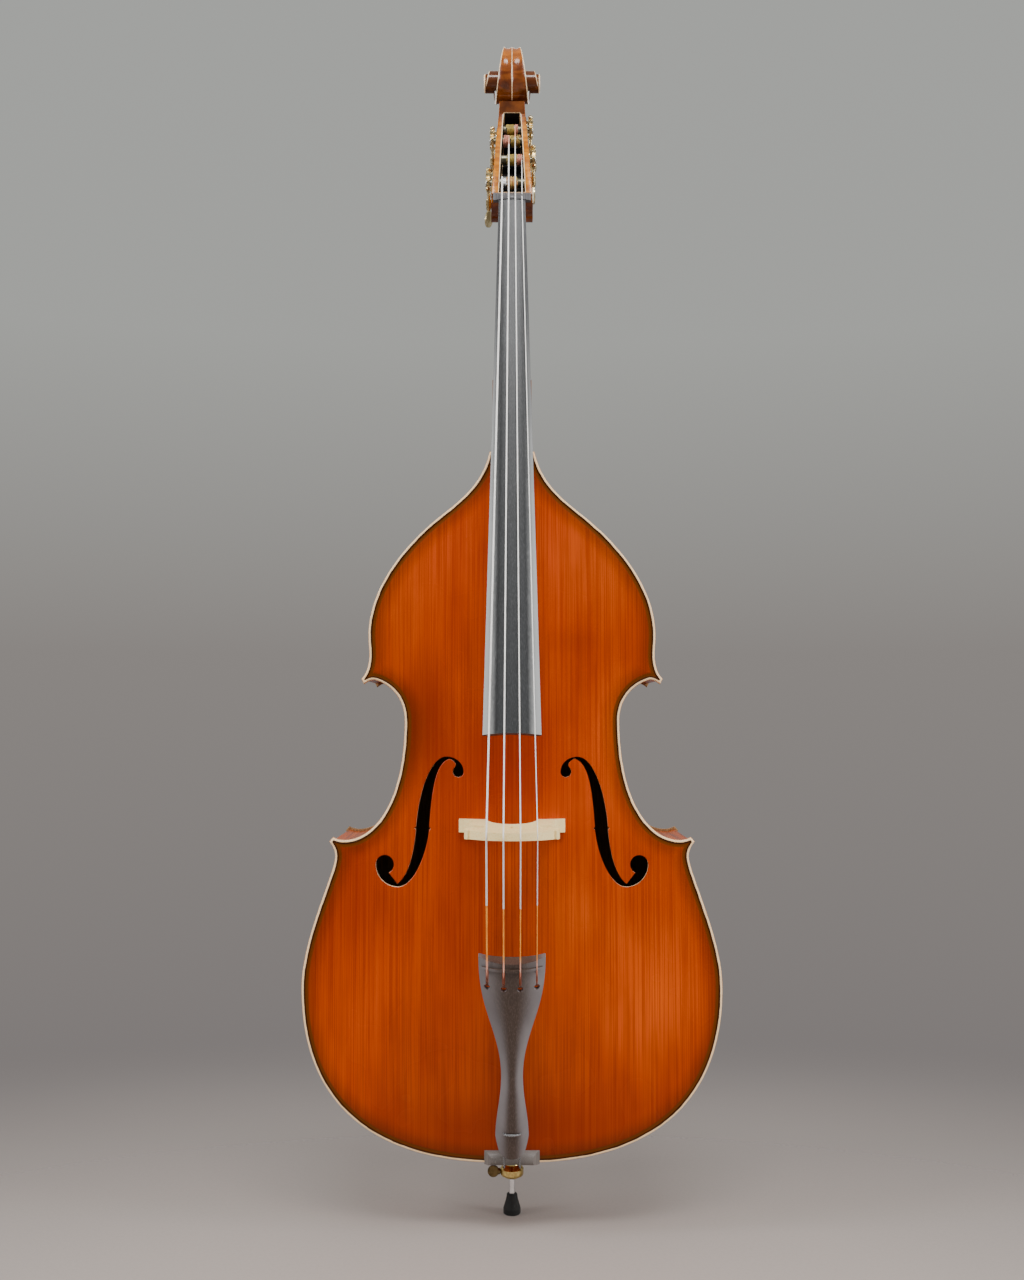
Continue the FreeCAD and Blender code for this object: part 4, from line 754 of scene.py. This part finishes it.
def build_plate(name, outline, holes, outer_y, way, arching, materials, replaced):
    """A carved plate: rounded rim, shallow channel and arching; way is -1 for the front."""
    plan, triangles, depth = plate_mesh(outline, holes)
    x, z = plan.T
    cut = np.full(len(plan), NO_EDGE)
    for hole in holes:
        cut = np.minimum(cut, edge_distance(plan, hole))
    swell = arch(x, z, arching)
    channel = CHANNEL_DEEP * np.exp(-((depth - CHANNEL_IN) / CHANNEL_WIDE) ** 2)
    drop = rounding(depth, RIM_OUT) + channel + 0.6 * rounding(cut, HOLE_RIM)
    outer = outer_y(z) + way * (swell - drop)
    inner = outer_y(z) + way * (swell - PLATE + rounding(depth, RIM_IN))
    count = len(plan)
    points = np.concatenate([np.stack([x, outer, z + BODY_Z], 1), np.stack([x, inner, z + BODY_Z], 1)])
    turn = triangles if way < 0 else triangles[:, ::-1]
    faces = [tuple(t) for t in turn] + [tuple(t[::-1] + count) for t in turn]
    kinds = [0] * len(turn) + [1] * len(turn)
    for a, b in boundary_loops(turn):
        faces.append((b, a, a + count, b + count))
        kinds.append(0 if depth[a] < 0.1 else 2)
    piece = make_piece(name, points, faces, materials, replaces=replaced, smooth=50)
    piece.data.polygons.foreach_set("material_index", kinds)
    inner_depth = np.where(depth < 0.1, 0.0, NO_EDGE)
    values = (np.concatenate([depth, inner_depth]) * MM).astype(np.float32)
    piece.data.attributes.new("edge", "FLOAT", "POINT").data.foreach_set("value", values)
    return piece


def front_edge(z):
    return np.full_like(z, FRONT_Y)


def top_plate():
    outline = closed_outline([[(36, BODY_LENGTH), (0, BODY_LENGTH)]])
    holes = [f_hole_loop(1), f_hole_loop(-1)]
    return build_plate("carved_top", outline, holes, front_edge, -1, TOP_ARCH,
                       [spruce_varnish(), plate_inside(), cream_wood()], ["top_plate"])


def back_plate():
    high = BODY_LENGTH + BUTTON
    end = [[(36, BODY_LENGTH), (21, BODY_LENGTH)],
           [(21, BODY_LENGTH), (21, high - 8), (12, high), (0, high)]]
    outline = closed_outline(end)
    return build_plate("carved_back", outline, [], back_edge, 1, BACK_ARCH,
                       [maple_back(), plate_inside(), cream_wood()], ["back_plate"])


# ---- head ------------------------------------------------------------------------------------
SCROLL_RADIUS = ((-120, 36), (-105, 38), (-90, 41), (-70, 48), (-50, 57), (-35, 60), (30, 60.5),
                 (90, 60), (116, 58), (150, 52.5), (180, 47), (230, 39.5), (296, 33), (340, 29.5),
                 (400, 25), (460, 21.5), (540, 17), (620, 14.5), (640, 14))
SCROLL_HALF = ((-120, 20), (-105, 20.5), (-40, 21.0), (0, 19), (60, 15.5), (90, 14.5), (116, 14.5),
               (150, 18.4), (185, 23), (230, 27), (296, 29.5), (360, 33), (450, 38), (540, 43),
               (620, 48), (640, 48))


FLUTE, SCROLL_BEVEL, SCROLL_STEP = 0.17, 1.0, 3.0    # share of the half width, mm, degrees
WORN_ROWS = (0, 7, 8, 9)                             # the ridge and the bevel, in scroll_section


def scroll_section(theta):
    """Right half of the scroll's cross-section at a turn, as (radius, x) from the middle out."""
    r, w = float(through(SCROLL_RADIUS, theta)), float(through(SCROLL_HALF, theta))
    hollow = 0.5 * min(1.0, max(0.0, (300 - theta) / 60)) + 0.5 * (theta < 240)
    flute = FLUTE * w * hollow
    bevel = SCROLL_BEVEL
    core = float(through(SCROLL_RADIUS, theta + 360)) - 1.0 if theta < 255 else 4.0
    rows = [(r - 0.2, 0.0), (r - 0.25 * flute, 0.03 * w)]
    for u in (0.18, 0.34, 0.5, 0.66, 0.82):
        rows.append((r - flute * math.sin(math.pi * (u - 0.05) / 0.95) ** 0.8, u * (w - 1.2 * bevel)))
    rows += [(r - 0.1 * flute, w - 1.5 * bevel), (r, w - bevel), (r - 0.35 * bevel, w - 0.3 * bevel),
             (r - 1.2 * bevel, w)]
    deep = r - 1.2 * bevel - core
    for u in (0.12, 0.3, 0.5, 0.7, 0.88, 1.0):
        rows.append((core + deep * (1 - u), w - 2.6 * math.sin(math.pi * min(u, 1.0)) ** 0.7))
    rows.append((max(core - 3.0, 1.5), 0.0))
    return rows


def scroll():
    """The volute, its band carved with two flutes, winding in and widening to the eye."""
    points, faces, kinds = [], [], []
    turns = np.arange(-105, 621, SCROLL_STEP)
    for theta in turns:
        half = scroll_section(theta)
        whole = [(p, -x) for p, x in half[:0:-1]][1:] + half
        a = math.radians(theta)
        points += [(x, VOLUTE_Y + p * math.cos(a), VOLUTE_Z + p * math.sin(a)) for p, x in whole]
        size = len(whole)
    middle = size - len(half)
    cream = {middle + k for k in WORN_ROWS} | {middle - k - 1 for k in WORN_ROWS}
    for i in range(len(turns) - 1):
        for j in range(size):
            a, b = i * size + j, i * size + (j + 1) % size
            faces.append((a, a + size, b + size, b))
            kinds.append(1 if j in cream else 0)
    faces += [tuple(range(size)), tuple(range(len(points) - 1, len(points) - size - 1, -1))]
    kinds += [0, 0]
    piece = make_piece("scroll_volute", points, faces, [MATERIAL["head"], MATERIAL["cream"]],
                       smooth=38)
    piece.data.polygons.foreach_set("material_index", kinds)
    for side in (-1, 1):
        scroll_eye(side)
    return piece


def lathe(profile, axis_point, axis, up):
    """Points and faces of a turned solid from (radius, along) rows about an axis in millimetres."""
    axis = Vector(axis).normalized()
    turn = Vector((0, 0, 1)).rotation_difference(axis).to_matrix()
    points, faces = [], []
    for r, h in profile:
        for n in range(up):
            a = 2 * math.pi * n / up
            p = turn @ Vector((r * math.cos(a), r * math.sin(a), h)) + Vector(axis_point)
            points.append(tuple(p))
    for i in range(len(profile) - 1):
        for n in range(up):
            a, b = i * up + n, i * up + (n + 1) % up
            faces.append((a, b, b + up, a + up))
    faces += [tuple(range(up))[::-1], tuple(range(len(points) - up, len(points)))]
    return points, faces


EYE_SIDES = 40
EYE_PROFILE = ((15.6, 30.0), (15.6, 46.2), (15.2, 47.6), (14.2, 48.4), (9.5, 49.0), (3.0, 49.2))


def scroll_eye(side):
    """The button at the middle of the volute, with its rounded rim worn cream."""
    points, faces = lathe(EYE_PROFILE, (0, VOLUTE_Y, VOLUTE_Z), (side, 0, 0), EYE_SIDES)
    name = "scroll_eye_" + ("right" if side > 0 else "left")
    piece = make_piece(name, points, faces, [MATERIAL["eye"], MATERIAL["cream"]],
                       smooth=50)
    kinds = [1 if EYE_SIDES <= i < 3 * EYE_SIDES else 0 for i in range(len(faces))]
    piece.data.polygons.foreach_set("material_index", kinds)
    return piece


def copied(node):
    """A bmesh of a CAD node with its flat areas merged into single faces."""
    work = bmesh.new()
    work.from_mesh(NODES[node].data)
    bmesh.ops.remove_doubles(work, verts=work.verts, dist=1e-6)
    bmesh.ops.dissolve_limit(work, angle_limit=math.radians(1.0), verts=work.verts, edges=work.edges)
    return work


NECK_TOP = 1866.5           # the neck ends here and the volute carries on
BEVELS_FROM = 1675.5        # lowest edge that is bevelled
HOLE_REACH = 9.5            # edges this near a roller's axis stay sharp
SHARP, SHORTEST, BEVEL = math.radians(32), 0.004, 0.0013    # radians, m, m
VARNISH, WORN, STAIN, THROAT = range(4)


def pegbox_place(point):
    """(t, b) of a point: how far up the pegbox's line, and from that line towards the back."""
    a = math.radians(ROLLER_SLOPE)
    y, z = point.y - ROLLER_Y, point.z - ROLLER_Z
    return y * math.sin(a) + z * math.cos(a), y * math.cos(a) - z * math.sin(a)


def cut_neck():
    """The CAD neck below the scroll, closed where it is cut."""
    work = copied("neck_and_scroll")
    everything = work.verts[:] + work.edges[:] + work.faces[:]
    result = bmesh.ops.bisect_plane(work, geom=everything, plane_co=(0, 0, NECK_TOP * MM),
                                    plane_no=(0, 0, 1), clear_outer=True)
    rim = [e for e in result["geom_cut"] if isinstance(e, bmesh.types.BMEdge)]
    bmesh.ops.edgeloop_fill(work, edges=rim)
    return work


def sharp_edges(work):
    """The pegbox's sharp outer edges, and those round its trough."""
    outer, trough = [], []
    for edge in work.edges:
        if len(edge.link_faces) != 2 or edge.calc_face_angle(0) < SHARP:
            continue
        middle = (edge.verts[0].co + edge.verts[1].co) / 2 / MM
        by_hole = any(math.dist((middle.y, middle.z), lean(place, 0)) < HOLE_REACH
                      for place in ROLLER_PLACES)
        in_reach = BEVELS_FROM <= middle.z <= NECK_TOP - 0.5
        if by_hole or not in_reach or edge.calc_length() < SHORTEST:
            continue
        t = pegbox_place(middle)[0]
        by_trough = abs(middle.x) < cheek_half(t) - 4 and TROUGH_LOW - 2 < t < TROUGH_HIGH + 2
        (trough if by_trough else outer).append(edge)
    return outer, trough


def paint_pegbox(work):
    """Black stain in the trough, but not on its worn edges, and dull varnish with painted shadow on the
    throat.
    """
    for face in work.faces:
        place = face.calc_center_median() / MM
        t, b = pegbox_place(place)
        faces_front = -face.normal.y > 0.7 and b < 8
        in_trough = TROUGH_LOW - 0.5 < t < TROUGH_HIGH + 0.5
        if in_trough and not faces_front and face.material_index == VARNISH:
            wall = WALL_LOW + (WALL_HIGH - WALL_LOW) * (t - TROUGH_LOW) / (TROUGH_HIGH - TROUGH_LOW)
            if abs(place.x) <= cheek_half(t) - wall + 0.3 and b < TROUGH_DEEP:
                face.material_index = STAIN
        if t > TROUGH_HIGH + 0.5 and face.normal.y < -0.3 and abs(place.x) < cheek_half(t) - 2:
            face.material_index = THROAT


def neck():
    """The neck and pegbox: the CAD shape below the scroll, with cream edges round its trough."""
    work = cut_neck()
    outer, trough = sharp_edges(work)
    for edges, paint in ((outer, VARNISH), (trough, WORN)):
        edges = [e for e in edges if e.is_valid]
        bmesh.ops.bevel(work, geom=edges, offset=BEVEL, offset_type="OFFSET", segments=2,
                        profile=0.5, affect="EDGES", clamp_overlap=False, material=paint)
    paint_pegbox(work)
    mesh = bpy.data.meshes.new("neck_and_pegbox")
    work.to_mesh(mesh)
    work.free()
    looks = [MATERIAL[k] for k in ("head", "cream", "stain", "throat")]
    return finish_piece("neck_and_pegbox", mesh, looks,
                        replaces=["neck_and_scroll"], smooth=35)


# ---- strings on their rollers ----------------------------------------------------------------
WINDS = {
    # start x, turns, advance per turn, height over the roller, strand radius, material (mm)
    "e": ((-16.5, 2.5, 2.9, 0.0, 1.35, "steel"), (-9.0, 8, 2.2, 0.0, 0.95, "copper"),
          (8.0, 3.5, -4.6, 1.5, 0.75, "gold"), (-7.0, 2.5, 5.2, 1.5, 0.75, "copper")),
    "a": ((-5.5, 4, -2.35, 0.0, 1.15, "pink"), (-3.0, 5, 2.3, 0.0, 1.05, "gold"),
          (14.0, 2.5, -4.4, 1.7, 0.70, "copper"), (8.5, 2.0, 2.6, 1.7, 0.70, "gold")),
    "d": ((5.5, 2.5, 1.95, 0.0, 0.95, "pink"), (-9.5, 7, 1.95, 0.0, 0.95, "gold")),
    "g": ((16.5, 5, -1.6, 0.0, 0.75, "pink"), (8.3, 10, -1.7, 0.0, 0.80, "gold")),
}


TURN_STEPS, STRAND_SIDES = 28, 10
STRAND_FILL = 0.98      # leaves a hair of air between neighbouring turns


def tube_along(path, radius, sides):
    """Points and faces of a closed tube along a path of points."""
    path = [Vector(p) for p in path]
    points, faces = [], []
    normal = None
    for i, p in enumerate(path):
        ahead = (path[min(i + 1, len(path) - 1)] - path[max(i - 1, 0)]).normalized()
        if normal is None:
            normal = ahead.orthogonal().normalized()
        normal = (normal - ahead * normal.dot(ahead)).normalized()
        other = ahead.cross(normal)
        for n in range(sides):
            a = 2 * math.pi * n / sides
            points.append(tuple(p + radius * (normal * math.cos(a) + other * math.sin(a))))
    for i in range(len(path) - 1):
        for n in range(sides):
            a, b = i * sides + n, i * sides + (n + 1) % sides
            faces.append((a, b, b + sides, a + sides))
    faces += [tuple(range(sides))[::-1], tuple(range(len(points) - sides, len(points)))]
    return points, faces


def winding(k):
    """A string's turns on its roller, with the loose end wound across the drum."""
    name = STRING_NAMES[k]
    y, z = lean(ROLLER_PLACES[k], 0)
    for number, (x, turns, advance, lift, radius, tint) in enumerate(WINDS[name]):
        reach = ROLLER_R + lift + radius
        path = []
        for i in range(int(turns * TURN_STEPS) + 1):
            a = 2 * math.pi * i / TURN_STEPS
            path.append((x + advance * i / TURN_STEPS,
                         y - reach * math.cos(a), z + reach * math.sin(a)))
        points, faces = tube_along(path, radius * STRAND_FILL, STRAND_SIDES)
        label = "turns_" + name if number == 0 else "loose_end_%s_%d" % (name, number)
        make_piece(label, points, faces, [MATERIAL[tint]], body="roller_" + name,
                   replaces=["winding_" + name] if number == 0 else (), smooth=60)


# ---- materials of the CAD nodes --------------------------------------------------------------
def dress(node, material):
    """Gives a CAD node its material."""
    mesh = NODES[node].data
    if mesh.materials:
        for i in range(len(mesh.materials)):
            NODES[node].material_slots[i].material = material
    else:
        mesh.materials.append(material)


# string, top of the silk below the bridge, start of the wrap before the roller (m)
SILK_PLACES = (("e", 0.534, 1.712), ("a", 0.530, 1.778), ("d", 0.530, 1.794), ("g", 0.534, 1.744))


def dress_all():
    """Gives the CAD nodes their materials, apart from the plates, neck and windings, which are redrawn."""
    brass = metal("brass", (0.40, 0.29, 0.12), (0.84, 0.71, 0.43), 0.20, 0.34)
    collar = metal("collar_brass", (0.34, 0.23, 0.06), (0.80, 0.62, 0.24), 0.09, 0.18, bump=0.02)
    drum = metal("roller_brass", (0.10, 0.09, 0.055), (0.36, 0.34, 0.25), 0.34, 0.5)
    steel = metal("screw_steel", (0.35, 0.34, 0.33), (0.62, 0.61, 0.60), 0.25, 0.4)
    chrome = metal("rod_chrome", (0.72, 0.72, 0.73), (0.88, 0.88, 0.89), 0.08, 0.16, (40, 40, 900))
    bronze = metal("aged_bronze", (0.035, 0.025, 0.012), (0.20, 0.14, 0.06), 0.32, 0.5)
    # fingerboard and tailpiece ebony, with painted sheen on their flanks
    board = ebony_with_painted_sheen("board_ebony", (900, 900, 16), ((0.024, 0.025, 0.027), (0.060, 0.062, 0.065)),
                         ((0.23, 0.235, 0.235), (0.34, 0.345, 0.34)), 0.30, 0.50)
    tail = ebony_with_painted_sheen("tail_ebony", (700, 700, 14), ((0.050, 0.030, 0.022), (0.110, 0.075, 0.060)),
                        ((0.155, 0.140, 0.148), (0.245, 0.225, 0.230)), 0.10, 0.50)
    pale = ebony("nut_ebony", (0.085, 0.082, 0.088), (0.19, 0.185, 0.19), 0.32, 0.44)
    worn = ebony("saddle_ebony", (0.105, 0.088, 0.080), (0.20, 0.175, 0.160), 0.36, 0.5)
    rib, wood, cable = maple_rib(), inner_wood(), stranded_cable()
    table = {
        "fingerboard": board, "nut": pale, "saddle": worn, "tailpiece": tail, "tail_fret": tail,
        "endpin_plug": tail, "bridge": bridge_maple(), "tail_wire": cable,
        "endpin_rod": chrome, "endpin_foot": rubber(), "endpin_screw": bronze,
        "endpin_collar": collar, "machine_plates": brass, "plate_screws": steel,
        "top_block": wood, "bottom_block": wood, "corner_blocks": wood, "linings_top": wood,
        "linings_back": wood, "bass_bar": wood, "sound_post": wood,
    }
    for name, silk_below, wrap_above in SILK_PLACES:
        table.update({"string_" + name: string_steel(name, silk_below, wrap_above),
                      "worm_" + name: brass, "key_" + name: brass, "wheel_" + name: brass,
                      "wheel_screw_" + name: steel, "roller_" + name: drum})
    for part in ("lower", "waist", "upper"):
        for side in ("left", "right"):
            table["rib_%s_%s" % (part, side)] = rib
    for node, material in table.items():
        dress(node, material)


# ---- studio ----------------------------------------------------------------------------------
def camera():
    """The photograph's viewpoint: level with the waist, tipped up by 3.6 degrees."""
    data = bpy.data.cameras.new("camera")
    data.lens, data.sensor_width, data.sensor_fit = LENS, 36.0, "AUTO"
    data.clip_end = 60
    eye = bpy.data.objects.new("camera", data)
    eye.location = (0, -EYE_BACK, EYE_HIGH)
    eye.rotation_euler = (math.radians(90 + EYE_TIP), 0, 0)
    bpy.context.scene.collection.objects.link(eye)
    bpy.context.scene.camera = eye


def area_light(name, place, target, size, power):
    data = bpy.data.lights.new(name, "AREA")
    data.shape, data.size, data.size_y = "RECTANGLE", size[0], size[1]
    data.energy = power
    lamp = bpy.data.objects.new(name, data)
    lamp.location = place
    lamp.rotation_euler = (Vector(target) - Vector(place)).to_track_quat("-Z", "Y").to_euler()
    bpy.context.scene.collection.objects.link(lamp)


def backdrop():
    """A grey studio all round: pale above, slightly warmer and darker towards the floor."""
    world = bpy.data.worlds.new("studio_grey")
    bpy.context.scene.world = world
    world.use_nodes = True
    tree = world.node_tree
    coords = tree.nodes.new("ShaderNodeTexCoord")
    split = tree.nodes.new("ShaderNodeSeparateXYZ")
    spread = tree.nodes.new("ShaderNodeMapRange")
    ramp = tree.nodes.new("ShaderNodeValToRGB")
    tree.links.new(coords.outputs["Generated"], split.inputs[0])
    tree.links.new(split.outputs["Z"], spread.inputs["Value"])
    spread.inputs["From Min"].default_value = -0.5
    spread.inputs["From Max"].default_value = 0.6
    tree.links.new(spread.outputs["Result"], ramp.inputs["Fac"])
    fill_ramp(ramp.color_ramp, ((0.0, (0.27, 0.245, 0.235)), (0.22, (0.215, 0.196, 0.190)),
                                (0.50, (0.262, 0.242, 0.228)), (0.72, (0.405, 0.41, 0.39)),
                                (1.0, (0.42, 0.43, 0.41))))
    tree.links.new(ramp.outputs["Color"], tree.nodes["Background"].inputs["Color"])


def floor():
    """A pale floor round the foot that fades into the backdrop."""
    turns = [2 * math.pi * n / FLOOR_SIDES for n in range(FLOOR_SIDES)]
    ring = [(FLOOR_RADIUS * math.cos(a), FLOOR_RADIUS * math.sin(a), 0) for a in turns]
    mesh = bpy.data.meshes.new("studio_floor")
    mesh.from_pydata(ring, [], [tuple(range(FLOOR_SIDES))])
    plane = bpy.data.objects.new("studio_floor", mesh)
    bpy.context.scene.collection.objects.link(plane)
    mesh.materials.append(floor_paint())
    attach(plane, "endpin")  # the foot stays on the floor however far the rod is out


def studio():
    """Soft light from above, from both sides and a little from behind."""
    area_light("key_high", (0.2, -2.3, 3.9), (0, -0.1, 1.0), (2.6, 0.9), 105)
    area_light("side_left", (-3.0, -1.1, 2.4), (0, 0, 1.0), (1.1, 2.6), 115)
    area_light("side_right", (3.0, -1.2, 1.9), (0, 0, 0.9), (0.9, 2.8), 105)
    area_light("head_back", (0, 2.0, 3.0), (0, 0, 1.2), (2.4, 1.0), 14)
    backdrop()
    floor()


# ---- the whole scene -------------------------------------------------------------------------
MATERIAL = {
    "head": maple_head(), "eye": maple_eye(), "cream": cream_wood(), "stain": black_stain(),
    "throat": throat_varnish_and_shadow(),
    "pink": silk("silk_pink", (0.62, 0.19, 0.11), (0.90, 0.42, 0.31)),
    "gold": silk("silk_gold", (0.30, 0.20, 0.03), (0.66, 0.48, 0.10)),
    "copper": silk("silk_copper", (0.42, 0.16, 0.04), (0.78, 0.42, 0.15)),
    "steel": metal("turn_steel", (0.45, 0.46, 0.46), (0.78, 0.79, 0.79), 0.3, 0.42),
}
camera()
studio()
dress_all()
top_plate()
back_plate()
scroll()
neck()
for string_number in range(4):
    winding(string_number)
